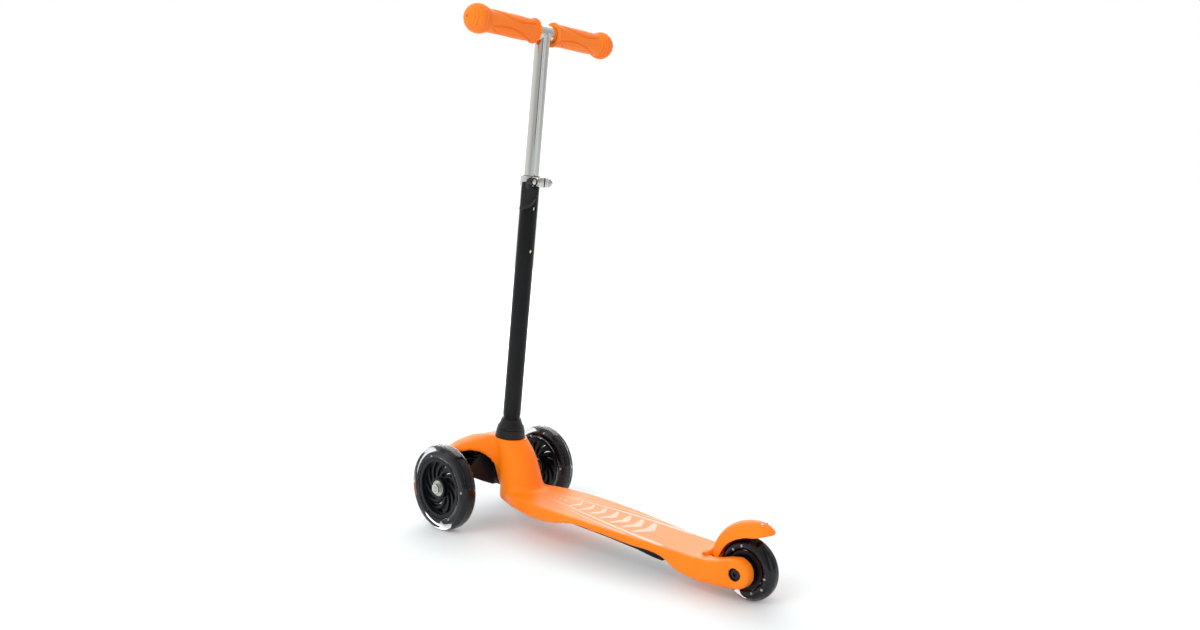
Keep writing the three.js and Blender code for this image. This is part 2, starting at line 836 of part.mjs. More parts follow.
function pegTop() {
  return hood_height - hood_wall - peg_boss_drop + peg_bury;
}

function deckShell() {
  const socket = lower_tube_radius + seat_gap;
  const boss_bottom = -socket_depth - collar_sink;
  const stem_boss = rod(socket + socket_wall, boss_bottom, -collar_sink, "z", tube_sides);
  const stem_bore = rod(socket, -socket_depth - seat_gap, cut_overrun, "z", tube_sides);
  const seat = rod(collar_radius + seat_gap, -collar_sink - seat_gap, cut_overrun * 2, "z", tube_sides);
  const screw = rod(stem_screw_radius + seat_gap, 0, collar_radius * 2, "x", tiny_sides);
  const head_seat = socket + socket_wall * stem_screw_seat_share;
  const head_room = rod(stem_screw_head_radius + seat_gap, head_seat, collar_radius * 2, "x");
  const outside = join(deckBody(), columnBody(), hoodBody());
  const turning_room = rod(barrel_radius + running_gap * 2, -carriage_rear, hood_front - nose_wall, "x", tube_sides);
  const rooms = [hoodCavity(), at(turning_room, 0, 0, lean_height), deckPocket(), columnHollow(), wheelArch()];
  const hollowed = cut(outside, ...rooms);
  const inside_hood = solid(hoodBody()).intersect(join(pegBoss(), ...springSeats()));
  const grown = join(hollowed, onStem(stem_boss), inside_hood, ...forkBosses(), ...pinLugs());
  const pin = rod(fender_pin_radius + running_gap, -fender_pin_half_length, fender_pin_half_length, "y");
  return cut(
    grown,
    onStem(stem_bore),
    onStem(seat),
    onStem(at(screw, 0, 0, -stem_screw_drop)),
    onStem(at(head_room, 0, 0, -stem_screw_drop)),
    fenderPocket(),
    at(pin, ...fenderPinPlace()),
    pegHole(),
    ...rearAxleCuts(),
    ...leanCuts(),
  );
}

// Lugs on the footboard that hold the fender's pin.
function pinLugs() {
  const [from, to] = [fender_pocket_half_width + seat_gap, fender_pin_half_length - lug_inset];
  return [[from, to], [-to, -from]].map(([a, b]) =>
    at(rod(lug_radius, a, b, "y"), ...fenderPinPlace()));
}

// The black plate that closes the ribs under the footboard.
function undersidePlate() {
  const upper = deck_skin + rib_depth + seat_gap;
  const rows = shared(plate_shares, [wheelbase, plate_thickness]);
  const [flange_from, flange_to] = [plate_flange_start_share * wheelbase, plate_flange_end_share * wheelbase];
  const first = rows[0][0];
  const last = rows[rows.length - 1][0];
  const joints = [...rows.map(([back]) => back), ...deckStations().map(([x]) => -x), flange_from, flange_to];
  const places = [...new Set(joints)].filter((back) => back >= first && back <= last);
  return loft(places.sort((one, two) => one - two).map((back) => {
    const [, half, top] = deckAt(-back);
    const thick = heightAt(rows, back);
    const out = Math.min(plate_half_width, half - deck_wall - seat_gap);
    const grown = THREE.MathUtils.clamp((back - flange_from) / (flange_to - flange_from), 0, 1);
    const edge = out + plate_lip + grown * (half - plate_flange_inset - plate_lip - out);
    const shoulder = thick - plate_flange_thickness;
    const side = [[edge, thick], [edge, shoulder], [out, shoulder], [out, 0]];
    const points = [...side, ...side.map(([y, z]) => [-y, z]).reverse()];
    return points.map(([y, z]) => new THREE.Vector3(-back, y, top - upper - z));
  }));
}

// Steering

function leanBolt() {
  const head = hood_front + seat_gap;
  const tip = -carriage_rear - lean_bolt_grip + seat_gap;
  const shank = rod(lean_bolt_radius, tip, head, "x");
  const top = hexagon(lean_bolt_flats, head, head + lean_bolt_head_height, "x");
  return at(geometryOf(join(shank, top)), 0, 0, lean_height);
}

function barrelEnds() {
  const rear = -carriage_rear + seat_gap + bush_flange_thickness + seat_gap;
  const front = hood_front - nose_wall - seat_gap * 2 - bush_flange_thickness;
  return [rear, front];
}

// A flanged plastic bush; the flange lies outside the barrel's end.
function leanBush(end, outward) {
  const inner = lean_bolt_radius + running_gap;
  const outer = inner + bush_wall;
  const face = end + outward * seat_gap;
  const lip = face + outward * bush_flange_thickness;
  const deep = end - outward * bush_length;
  const profile = [
    [inner, deep], [outer, deep], [outer, face], [bush_flange_radius, face],
    [bush_flange_radius, lip], [inner, lip], [inner, deep],
  ];
  return at(turned(profile, "x", tube_sides), 0, 0, lean_height);
}

function carriageBeam() {
  const tall = kingpin_boss_top - kingpin_boss_bottom;
  const place = ([out, up]) => [out * kingpin_offset, kingpin_boss_bottom + up * tall];
  const under = beam_under_shares.map(place);
  const over = beam_over_shares.map(place);
  const half = [...under, ...over];
  const mirrored = half.map(([y, z]) => [-y, z]).reverse();
  const beam = plateAcross([...half, ...mirrored], -beam_depth / 2, beam_depth / 2);
  const screen_half = shared(screen_shares, [kingpin_offset, hood_height]);
  const screen_outline = [...screen_half, ...screen_half.map(([y, z]) => [-y, z]).reverse()];
  const screen = plateAcross(screen_outline, -beam_depth / 2, -beam_depth / 2 + screen_thickness);
  const [rear, front] = barrelEnds();
  const barrel = at(rod(barrel_radius, rear, front, "x", tube_sides), 0, 0, lean_height);
  const bore_radius = lean_bolt_radius + running_gap + bush_wall + seat_gap;
  const bore = at(rod(bore_radius, rear - cut_overrun, front + cut_overrun, "x", tube_sides), 0, 0, lean_height);
  const [low, high] = [kingpin_boss_bottom, kingpin_boss_top];
  const bosses = [-1, 1].map((side) =>
    at(rod(kingpin_boss_radius, low, high, "z", tube_sides), 0, side * kingpin_offset, 0));
  const holes = [-1, 1].map((side) =>
    at(rod(kingpin_radius + running_gap, low - cut_overrun, high + cut_overrun, "z"), 0, side * kingpin_offset, 0));
  return cut(join(beam, screen, barrel, ...bosses), bore, ...holes);
}

function springHelix(radius, height, turns) {
  const curve = new THREE.Curve();
  curve.getPoint = (share) => {
    const angle = 2 * Math.PI * turns * share;
    return new THREE.Vector3(radius * Math.cos(angle), radius * Math.sin(angle), height * share);
  };
  return curve;
}

// An open helix of round wire, its rings set square to the helix.
function coil(radius, wire_radius, height, turns) {
  const curve = springHelix(radius, height, turns);
  const steps = Math.round(turns * spring_steps_per_turn);
  const rings = [];
  for (let i = 0; i <= steps; i++) {
    const share = i / steps;
    const angle = 2 * Math.PI * turns * share;
    const centre = curve.getPoint(share);
    const out = new THREE.Vector3(Math.cos(angle), Math.sin(angle), 0);
    const along = new THREE.Vector3(-Math.sin(angle), Math.cos(angle), 0)
      .multiplyScalar(2 * Math.PI * turns * radius).setZ(height).normalize();
    const up = new THREE.Vector3().crossVectors(along, out);
    rings.push(Array.from({ length: spring_sides }, (_, j) => {
      const turn = (2 * Math.PI * j) / spring_sides;
      return centre.clone()
        .addScaledVector(out, wire_radius * Math.cos(turn))
        .addScaledVector(up, wire_radius * Math.sin(turn));
    }));
  }
  return loft(rings);
}

// The least clear space between two turns of a coil, measured on its points.
function leastGap(radius, wire_radius, height, turns) {
  const curve = springHelix(radius, height, turns);
  const count = Math.round(turns * gap_samples_per_turn);
  const points = Array.from({ length: count + 1 }, (_, i) => curve.getPoint(i / count));
  let least = Infinity;
  points.forEach((p, i) => {
    for (let j = i + gap_samples_per_turn / 2; j <= count; j++) {
      least = Math.min(least, p.distanceTo(points[j]));
    }
  });
  return least - 2 * wire_radius;
}

function beamTopAt(out) {
  const tall = kingpin_boss_top - kingpin_boss_bottom;
  const rows = beam_over_shares.map(([y, z]) => [y * kingpin_offset, kingpin_boss_bottom + z * tall]);
  const i = rows.findIndex(([y]) => y <= out);
  const [[y0, z0], [y1, z1]] = [rows[i - 1], rows[i]];
  return z0 + ((out - y0) / (y1 - y0)) * (z1 - z0);
}

function centringSpring() {
  const lift = spring_wire_radius + seat_gap;
  const low = beamTopAt(spring_offset - spring_radius) + lift;
  const high = spring_seat_height - lift;
  console.log("centring spring gap", leastGap(spring_radius, spring_wire_radius, high - low, spring_turns));
  return coil(spring_radius, spring_wire_radius, high - low, spring_turns).translate(0, 0, low);
}

// A knuckle about its kingpin, with the wheel on its +Y side.
function knuckle() {
  const top = kingpin_boss_bottom - running_gap;
  const barrel = rod(knuckle_radius, knuckle_bottom, top, "z", tube_sides);
  const face = wheel_y - bearing_face - seat_gap - kingpin_offset;
  const neck = face - stub_nose_length;
  const profile = [[0, 0], [stub_radius, 0], [stub_radius, neck], [stub_nose_radius, face], [0, face]];
  const stub = at(turned(profile, "y", tube_sides), 0, 0, front_wheel_radius);
  const axle = rod(axle_radius + seat_gap, face - axle_bury, face + cut_overrun, "y");
  const low = knuckle_bottom - cut_overrun;
  const kingpin = rod(kingpin_radius + seat_gap, low, top + cut_overrun, "z");
  return cut(join(barrel, stub), at(axle, 0, 0, front_wheel_radius), kingpin);
}

function kingpin() {
  const head_top = knuckle_bottom - seat_gap;
  const tip = kingpin_boss_top + running_gap + arm_thickness;
  const shank = rod(kingpin_radius, head_top, tip, "z");
  const head = rod(kingpin_head_radius, head_top - kingpin_head_height, head_top, "z", 6);
  return join(shank, head);
}

function steeringArm() {
  const [low, high] = [kingpin_boss_top + running_gap, kingpin_boss_top + running_gap + arm_thickness];
  const outline = new THREE.Shape();
  const tilt = Math.acos((arm_eye_radius - arm_pin_eye_radius) / steering_arm_length);
  outline.absarc(0, 0, arm_eye_radius, tilt, 2 * Math.PI - tilt, false);
  outline.absarc(steering_arm_length, 0, arm_pin_eye_radius, -tilt, tilt, false);
  const plate = new THREE.ExtrudeGeometry(outline, {
    depth: arm_thickness, bevelEnabled: false, curveSegments: 8,
  });
  const over = cut_overrun;
  const eye = rod(kingpin_radius + seat_gap, low - over, high + over, "z");
  const pin = at(rod(tie_pin_radius + seat_gap, low - over, high + over, "z", tiny_sides), steering_arm_length, 0, 0);
  return cut(plate.translate(0, 0, low), eye, pin);
}

function tiePin() {
  const low = kingpin_boss_top + running_gap;
  const neck = tie_rod_bottom + tie_rod_thickness + running_gap;
  const shank = rod(tie_pin_radius, low, neck, "z", tiny_sides);
  const head = rod(tie_pin_head_radius, neck, neck + tie_pin_head_height, "z", small_sides);
  return at(geometryOf(join(shank, head)), steering_arm_length, 0, 0);
}

function tieRod() {
  const [half, reach] = [tie_rod_half_width, kingpin_offset];
  const [low, high] = [tie_rod_bottom, tie_rod_bottom + tie_rod_thickness];
  const over = cut_overrun;
  const bar = slab([-half, half], [-reach, reach], [low, high]);
  const eyes = [-reach, reach].map((y) => at(rod(half, low, high, "z"), 0, y, 0));
  const boss = rod(tie_rod_boss_radius, low, high, "z", tube_sides);
  const pins = [-reach, reach].map((y) =>
    at(rod(tie_pin_radius + running_gap, low - over, high + over, "z", tiny_sides), 0, y, 0));
  const slot = rod(peg_radius + peg_play, low - over, high + over, "z");
  const rod_body = cut(join(bar, ...eyes, boss), slot, ...pins);
  return at(geometryOf(rod_body), steering_arm_length, 0, 0);
}

function steeringPeg() {
  const low = tie_rod_bottom - peg_reach;
  return at(rod(peg_radius, low, pegTop(), "z"), steering_arm_length, 0, 0);
}

function axleStud() {
  const face = wheel_y - bearing_face - seat_gap - kingpin_offset;
  const end = face + seat_gap + bearing_spread + seat_gap + axle_nut_thickness + axle_end_stand;
  return at(rod(axle_radius, face - axle_bury + seat_gap, end, "y"), 0, 0, front_wheel_radius);
}

function axleNut() {
  const from = wheel_y + bearing_face + seat_gap - kingpin_offset;
  const nut = hexagon(axle_nut_flats, from, from + axle_nut_thickness, "y");
  const hole = rod(axle_radius + seat_gap, from - cut_overrun, from + axle_nut_thickness + cut_overrun, "y");
  return at(geometryOf(cut(nut, hole)), 0, 0, front_wheel_radius);
}

// One side of the steering: side is 1 on the left and -1 on the right.
function steeringSide(name, side) {
  const group = new THREE.Group();
  group.position.y = side * kingpin_offset;
  const mirrored = (shape) => {
    const geometry = geometryOf(asSolid(shape));
    return side > 0 ? geometry : geometry.rotateZ(Math.PI);
  };
  const front_wheel = wheel(`${name}_front`, front_wheel_radius, front_hub_radius, tyre_shares, true, side);
  front_wheel.position.set(0, side * (wheel_y - kingpin_offset), front_wheel_radius);
  group.add(
    piece(`${name}_knuckle`, mirrored(knuckle()), black_plastic),
    piece(`${name}_kingpin`, kingpin(), steel),
    piece(`${name}_steering_arm`, steeringArm(), steel),
    piece(`${name}_tie_pin`, tiePin(), steel),
    piece(`${name}_axle`, mirrored(axleStud()), steel),
    piece(`${name}_axle_nut`, mirrored(axleNut()), steel),
    front_wheel,
  );
  return group;
}

function centringSprings() {
  return ["left", "right"].map((name, i) => {
    const spring = piece(`${name}_centring_spring`, centringSpring(), steel);
    spring.position.y = (i === 0 ? 1 : -1) * spring_offset;
    return spring;
  });
}

// Stem pieces, in the stem's frame

function collarRing() {
  const bore = lower_tube_radius + seat_gap;
  const [low, high] = [-collar_sink, -collar_sink + collar_ring_height];
  const narrow = collar_radius - collar_taper;
  const profile = [[bore, low], [collar_radius, low], [narrow, high], [bore, high], [bore, low]];
  return turned(profile, "z", tube_sides);
}

function collarCone() {
  const bore = lower_tube_radius + seat_gap;
  const low = -collar_sink + collar_ring_height + seat_gap;
  const wide = collar_radius - collar_taper - collar_groove_depth;
  const drop = wide - collar_top_radius;
  const side = cone_shares.map(([up, inward]) => [wide - inward * drop, low + up * collar_cone_height]);
  const profile = [[bore, low], ...side, [bore, low + collar_cone_height], [bore, low]];
  return turned(profile, "z", tube_sides);
}

function collarTop() {
  return -collar_sink + collar_ring_height + seat_gap + collar_cone_height;
}

function lowerTube() {
  const [outer, inner] = [lower_tube_radius, lower_tube_radius - lower_tube_wall];
  const start = collarTop() + seat_gap;
  const bottom = -socket_depth;
  const neck = tube_neck_radius;
  const profile = [
    [inner - (outer - neck), bottom], [outer, bottom], [outer, start], [neck, start],
    [outer, start + collar_ring_height / 2], [outer, lower_tube_top], [inner, lower_tube_top],
    [inner, start + collar_ring_height], [inner - (outer - neck), start],
    [inner - (outer - neck), bottom],
  ];
  const body = turned(profile, "z", tube_sides);
  const holes = [height_hole_drop, height_hole_drop + height_hole_pitch].map((down) =>
    at(rod(height_hole_radius, -outer * 2, 0, "x", tiny_sides), 0, 0, lower_tube_top - down));
  const screw = rod(stem_screw_radius + seat_gap, 0, outer * 2, "x", tiny_sides);
  return cut(body, ...holes, at(screw, 0, 0, -stem_screw_drop));
}

// The screw goes in from the front, inside the hood, where the boss has a flat seat for its head.
function stemScrew() {
  const seat = lower_tube_radius + seat_gap + socket_wall * stem_screw_seat_share + seat_gap;
  const shank = rod(stem_screw_radius, lower_tube_radius / 2, seat, "x", tiny_sides);
  const head = rod(stem_screw_head_radius, seat, seat + stem_screw_head_height, "x");
  return at(geometryOf(join(shank, head)), 0, 0, -stem_screw_drop);
}

function tBar() {
  const bottom = lower_tube_top - upper_tube_overlap;
  const inner = upper_tube_radius - upper_tube_wall;
  const bar_inner = bar_radius - upper_tube_wall;
  const post = rod(upper_tube_radius, bottom, stem_length, "z", tube_sides);
  const cross = at(rod(bar_radius, -bar_half_length, bar_half_length, "y", tube_sides), 0, 0, stem_length);
  const post_bore = rod(inner, bottom - cut_overrun, stem_length - bar_inner / 2, "z", tube_sides);
  const far = bar_half_length + cut_overrun;
  const cross_bore = at(rod(bar_inner, -far, far, "y", tube_sides), 0, 0, stem_length);
  const hole = at(rod(button_radius + seat_gap, -upper_tube_radius * 2, 0, "x", tiny_sides), 0, 0, buttonLevel());
  return cut(join(post, cross), post_bore, cross_bore, hole);
}

// A hand grip on the left half of the bar, its ball end outwards.
function grip() {
  const bore = bar_radius + seat_gap;
  const start = grip_inner_end;
  const lip = start + grip_lip_width;
  const end = knob_offset + knob_radius;
  const blind = bar_half_length + seat_gap;
  const neck_angle = Math.acos(grip_radius / knob_radius);
  const neck = knob_offset - knob_radius * Math.sin(neck_angle);
  const profile = [[bore, blind], [bore, start], [grip_lip_radius, start], [grip_lip_radius, lip]];
  const body_steps = 3 * grip_wave_count;
  for (let i = 0; i <= body_steps; i++) {
    const share = i / body_steps;
    const wave = grip_wave_depth * Math.sin(Math.PI * grip_wave_count * share) ** 2;
    profile.push([grip_radius - wave, lip + share * (neck - lip)]);
  }
  const knob_steps = 8;
  for (let i = 1; i < knob_steps; i++) {
    const angle = -neck_angle + (i / knob_steps) * (neck_angle + Math.PI / 2);
    profile.push([knob_radius * Math.cos(angle), knob_offset + knob_radius * Math.sin(angle)]);
  }
  profile.push([grip_end_hole_radius, end], [grip_end_hole_radius, end - grip_end_hole_depth]);
  profile.push([0, end - grip_end_hole_depth]);
  const closed = [[0, blind], ...profile];
  return at(turned(closed, "y", tube_sides), 0, 0, stem_length);
}

function buttonLevel() {
  return lower_tube_top - upper_tube_overlap + button_rise;
}

function snapButton() {
  const tip = -(lower_tube_radius - lower_tube_wall - running_gap * 2);
  const neck = -buttonSeat();
  const shank = rod(button_radius, tip, neck + button_head_height, "x", tiny_sides);
  const head = rod(button_head_radius, neck, neck + button_head_height, "x", tiny_sides);
  return at(geometryOf(join(shank, head)), 0, 0, buttonLevel());
}

// How far out the button's flat head can sit in the round tube.
function buttonSeat() {
  return Math.sqrt((upper_tube_radius - upper_tube_wall - seat_gap) ** 2 - button_head_radius ** 2);
}

// A bent leaf that pushes the button outwards.
function snapSpring() {
  const back = -buttonSeat() + button_head_height + seat_gap;
  const front = -back - leaf_thickness;
  const [t, long] = [leaf_thickness, leaf_length];
  const outline = [
    [back, -long / 4], [back + t, -long / 4], [back + t, long * 0.5], [0, long * 0.62],
    [front, long * 0.5], [front, 0], [front + t, 0], [front + t, long * 0.5],
    [0, long * 0.62 + t * 1.6], [back, long * 0.5 + t],
  ];
  const shape = new THREE.Shape(outline.map(([x, z]) => new THREE.Vector2(x, z)));
  const pushed = new THREE.ExtrudeGeometry(shape, { depth: leaf_width, bevelEnabled: false });
  pushed.translate(0, 0, -leaf_width / 2).rotateX(Math.PI / 2);
  return at(pushed, 0, 0, buttonLevel());
}

function clampBand() {
  const inner = lower_tube_radius + seat_gap;
  const outer = inner + clamp_wall;
  const [low, high] = [clamp_level - clamp_height / 2, clamp_level + clamp_height / 2];
  const band = ring(outer, inner, low, high, "z", tube_sides);
  const half = clamp_slit / 2 + ear_thickness;
  const ears = slab([-ear_reach, -inner - clamp_wall / 2], [-half, half], [low, high]);
  const slit = slab([-ear_reach * 2, -inner / 2], [-clamp_slit / 2, clamp_slit / 2], [low - cut_overrun, high + cut_overrun]);
  const hole = rod(clamp_bolt_radius + seat_gap, -half * 2, half * 2, "y", tiny_sides);
  const pad = at(rod(cam_pad_radius, half / 2, half + cam_pad_height, "y"), -clamp_bolt_setback, 0, clamp_level);
  return cut(join(band, ears, pad), slit, at(hole, -clamp_bolt_setback, 0, clamp_level));
}

function earFace() {
  return clamp_slit / 2 + ear_thickness + seat_gap;
}

function camCentre() {
  return earFace() + cam_pad_height + cam_radius;
}

function clampBolt() {
  const far = -earFace() - clamp_washer_thickness - clamp_nut_length - seat_gap;
  const eye_half = clamp_bolt_radius;
  const shank = rod(clamp_bolt_radius, far - clamp_dome_height / 2, camCentre() - lever_pin_radius * 1.5, "y", tiny_sides);
  const dome = turned([
    [0, far - clamp_dome_height], [clamp_dome_radius * 0.6, far - clamp_dome_height * 0.86],
    [clamp_dome_radius, far - clamp_dome_height * 0.4], [clamp_dome_radius, far], [0, far],
  ], "y", tiny_sides);
  const eye = at(rod(clamp_bolt_eye_radius, -eye_half, eye_half, "x"), 0, camCentre(), 0);
  const pin_hole = rod(lever_pin_radius + running_gap, -cam_width, cam_width, "x", tiny_sides);
  const body = cut(join(shank, dome, eye), at(pin_hole, 0, camCentre(), 0));
  return at(geometryOf(body), -clamp_bolt_setback, 0, clamp_level);
}

function clampNut() {
  const start = -earFace() - clamp_washer_thickness;
  const end = start - clamp_nut_length;
  const nut = rod(clamp_nut_radius, end, start, "y");
  const washer = rod(clamp_washer_radius, start, -earFace(), "y");
  const hole = rod(clamp_bolt_radius + seat_gap, end - cut_overrun, cut_overrun, "y", tiny_sides);
  return at(geometryOf(cut(join(nut, washer), hole)), -clamp_bolt_setback, 0, clamp_level);
}

// The height of a point that a list of [place, height] rows passes through.
function heightAt(rows, place) {
  const i = Math.max(1, rows.findIndex((row) => row[0] >= place));
  const [[p0, z0], [p1, z1]] = [rows[i - 1], rows[i]];
  return z0 + ((place - p0) / (p1 - p0)) * (z1 - z0);
}

function leverTopRows() {
  return shared(lever_top_shares, [Math.PI, lever_length]);
}

// The lever's leaf wraps the left and rear of the tube and hangs from its cam.
function leverLeaf() {
  const inner = lower_tube_radius + seat_gap + clamp_wall + lever_stand;
  const rows = leverTopRows();
  const first = rows[0][0];
  const last = rows[rows.length - 1][0];
  const steps = 15;
  const stations = Array.from({ length: steps + 1 }, (_, i) => first + ((last - first) * i) / steps);
  const low = rows[rows.length - 1][1] - lever_thickness;
  const rings = stations.map((angle, i) => {
    const share = i / steps;
    const top = heightAt(rows, angle);
    const bottom = low - (lever_length + low) * Math.sqrt(1 - share ** 2);
    const outer = inner + lever_thickness;
    return [[outer, top], [outer, bottom], [inner, bottom], [inner, top]]
      .map(([radius, z]) => new THREE.Vector3(radius * Math.cos(angle), radius * Math.sin(angle), z));
  });
  return loft(rings);
}

// The cam turns on its pin, and a slot through it clears the bolt's eye.
function clampLever() {
  const y = camCentre();
  const over = cut_overrun;
  const cam = rod(cam_radius, -cam_width / 2, cam_width / 2, "x", 20);
  const slot_half = clamp_bolt_radius + running_gap;
  const slot_end = clamp_bolt_eye_radius + running_gap;
  const slot = slab([-slot_half, slot_half], [-cam_radius - over, slot_end], [-slot_end - over, slot_end + over]);
  const pin = rod(lever_pin_radius + running_gap, -cam_width, cam_width, "x", tiny_sides);
  const shapes = [cam, slot, pin].map((shape) => at(shape, -clamp_bolt_setback, y, 0));
  const block = slab(
    [-clamp_bolt_setback, -lever_block_front],
    [lever_block_side, y + cam_radius / 2],
    [leverTopRows().pop()[1] - lever_thickness, lever_block_height],
  );
  const lever = cut(join(leverLeaf(), shapes[0], block), shapes[1], shapes[2]);
  return at(geometryOf(lever), 0, 0, clamp_level);
}

function leverPin() {
  const pin = rod(lever_pin_radius, -cam_width / 2, cam_width / 2, "x", tiny_sides);
  return at(pin, -clamp_bolt_setback, camCentre(), clamp_level);
}

function stem() {
  const group = new THREE.Group();
  group.applyMatrix4(stem_matrix);
  group.add(
    piece("collar_ring", collarRing(), black_plastic),
    piece("collar_cone", collarCone(), black_plastic),
    piece("lower_tube", lowerTube(), black_paint),
    piece("stem_screw", stemScrew(), steel),
    piece("t_bar", tBar(), chrome),
    piece("left_grip", grip(), orange_rubber),
    piece("right_grip", grip().applyMatrix4(grip_turn), orange_rubber),
    piece("snap_button", snapButton(), steel),
    piece("snap_spring", snapSpring(), steel),
    piece("clamp_band", clampBand(), steel),
    piece("clamp_bolt", clampBolt(), steel),
    piece("clamp_nut", clampNut(), steel),
    piece("clamp_lever", clampLever(), black_plastic),
    piece("lever_pin", leverPin(), steel),
  );
  return group;
}

// The right grip is the left one turned half round about the stem's line.
const grip_turn = new THREE.Matrix4().makeRotationZ(Math.PI);

// Rear end

function rearAxle() {
  const deep = fork_half_width - recess_depth + seat_gap;
  const shank = rod(axle_radius, -deep - axle_nut_thickness, deep, "y");
  const head = rod(axle_head_radius, deep, deep + axle_head_height, "y", 20);
  const socket_bottom = deep + axle_head_height - axle_socket_depth;
  const socket = hexagon(axle_socket_flats, socket_bottom, deep + axle_head_height + cut_overrun, "y");
  return at(geometryOf(cut(join(shank, head), socket)), rear_axle_x, 0, rear_wheel_radius);
}

function rearNut() {
  const start = -(fork_half_width - recess_depth + seat_gap);
  const end = start - axle_nut_thickness;
  const nut = hexagon(axle_nut_flats, end, start, "y");
  const hole = rod(axle_radius + seat_gap, end - cut_overrun, start + cut_overrun, "y");
  return at(geometryOf(cut(nut, hole)), rear_axle_x, 0, rear_wheel_radius);
}

// Direction, radius, half width and crown of the fender along its arc.
function fenderRows() {
  const sizes = [Math.PI / 2, fender_radius, fender_half_width, fender_crown];
  return shared(fender_shares, sizes);
}

function fenderPoint(angle, radius, y) {
  return new THREE.Vector3(
    rear_axle_x + radius * Math.cos(angle), y, rear_wheel_radius + radius * Math.sin(angle));
}

function fenderBlade() {
  const rings = fenderRows().map(([angle, radius, half, crown]) => {
    const shares = Array.from({ length: fender_arc_steps + 1 }, (_, i) => -1 + (2 * i) / fender_arc_steps);
    const outer = shares.map((s) => fenderPoint(angle, radius - crown * Math.abs(s) ** fender_crown_power, s * half));
    const inner = shares.map((s) => fenderPoint(angle, radius - crown * Math.abs(s) ** fender_crown_power - fender_thickness, s * half));
    return [...outer, ...inner.reverse()];
  });
  return loft(rings);
}

function fenderPinPlace() {
  return [rear_axle_x + fender_pin_reach, 0, fender_pin_height];
}

function rearFender() {
  const [gap, half] = [fender_eye_gap, fender_eye_half_width];
  const eyes = [[gap, half], [-half, -gap]].map(([from, to]) =>
    at(rod(fender_eye_radius, from, to, "y", small_sides), ...fenderPinPlace()));
  const pin = rod(fender_pin_radius + running_gap, -half * 2, half * 2, "y", tiny_sides);
  const relief = rod(fender_eye_radius + running_gap, -gap, gap, "y", small_sides);
  const through = fender_thickness + fender_crown;
  const holes = [-1, 1].map((side) => rivetAt(rivet_radius + seat_gap, side, -through, through));
  return cut(
    join(fenderBlade(), ...eyes), at(pin, ...fenderPinPlace()), at(relief, ...fenderPinPlace()), ...holes,
  );
}

// The radius of the fender's outer face on its middle line at a direction.
function fenderRadiusAt(angle) {
  const rows = fenderRows();
  const i = Math.max(1, rows.findIndex((row) => row[0] >= angle));
  const [before, after] = [rows[i - 1], rows[i]];
  return before[1] + ((angle - before[0]) / (after[0] - before[0])) * (after[1] - before[1]);
}

function rivetAngle() {
  return (Math.PI / 2) * rivet_share;
}

// A rivet's cylinder through the fender, between two depths from its outer face.
function rivetAt(radius, side, from, to) {
  const angle = rivetAngle();
  const body = rod(radius, from, to, "z", tiny_sides);
  body.rotateY(Math.PI / 2 - angle);
  const face = fenderRadiusAt(angle) - fenderFall(rivet_offset);
  const place = fenderPoint(angle, face, side * rivet_offset);
  return at(body, place.x, place.y, place.z);
}

// How far the fender's outer face has fallen at a distance from its middle, where it is fully crowned.
function fenderFall(y) {
  return fender_crown * (y / fender_half_width) ** fender_crown_power;
}

// The steel strip that rubs on the tyre, held by two rivets through the fender.
function brakePlate() {
  const half = brake_plate_half_width;
  const crown = fenderFall(half);
  const rings = shared(brake_plate_shares, [Math.PI / 2, brake_plate_drop]).map(([angle, gap]) => {
    const outer = fenderRadiusAt(angle) - fender_thickness - crown - gap;
    const inner = outer - brake_plate_thickness;
    return [[outer, -half], [outer, half], [inner, half], [inner, -half]]
      .map(([radius, y]) => fenderPoint(angle, radius, y));
  });
  const deep = fender_thickness + crown + brake_plate_thickness / 2;
  const rivets = [-1, 1].map((side) => rivetAt(rivet_radius, side, -deep, rivet_stand));
  return join(loft(rings), ...rivets);
}

function fenderPin() {
  const half = fender_pin_half_length - seat_gap;
  return at(rod(fender_pin_radius, -half, half, "y", tiny_sides), ...fenderPinPlace());
}

function torsionSpring() {
  const height = torsion_turns * torsion_pitch;
  console.log("torsion spring gap", leastGap(torsion_radius, torsion_wire_radius, height, torsion_turns));
  const body = coil(torsion_radius, torsion_wire_radius, height, torsion_turns);
  return at(body.translate(0, 0, -height / 2).rotateX(Math.PI / 2), ...fenderPinPlace());
}

// Finishes and the whole scooter

const orange_plastic = finish(0xff8424, 0.42, 0);
const orange_rubber = finish(0xff6e22, 0.7, 0);
const black_plastic = finish(0x242225, 0.5, 0);
const black_paint = finish(0x202022, 0.35, 0);
const clear_tyre = finish(0x2b2830, 0.2, 0);
const chrome = finish(0xb0afab, 0.15, 1);
const steel = finish(0xa9a8a5, 0.35, 1);

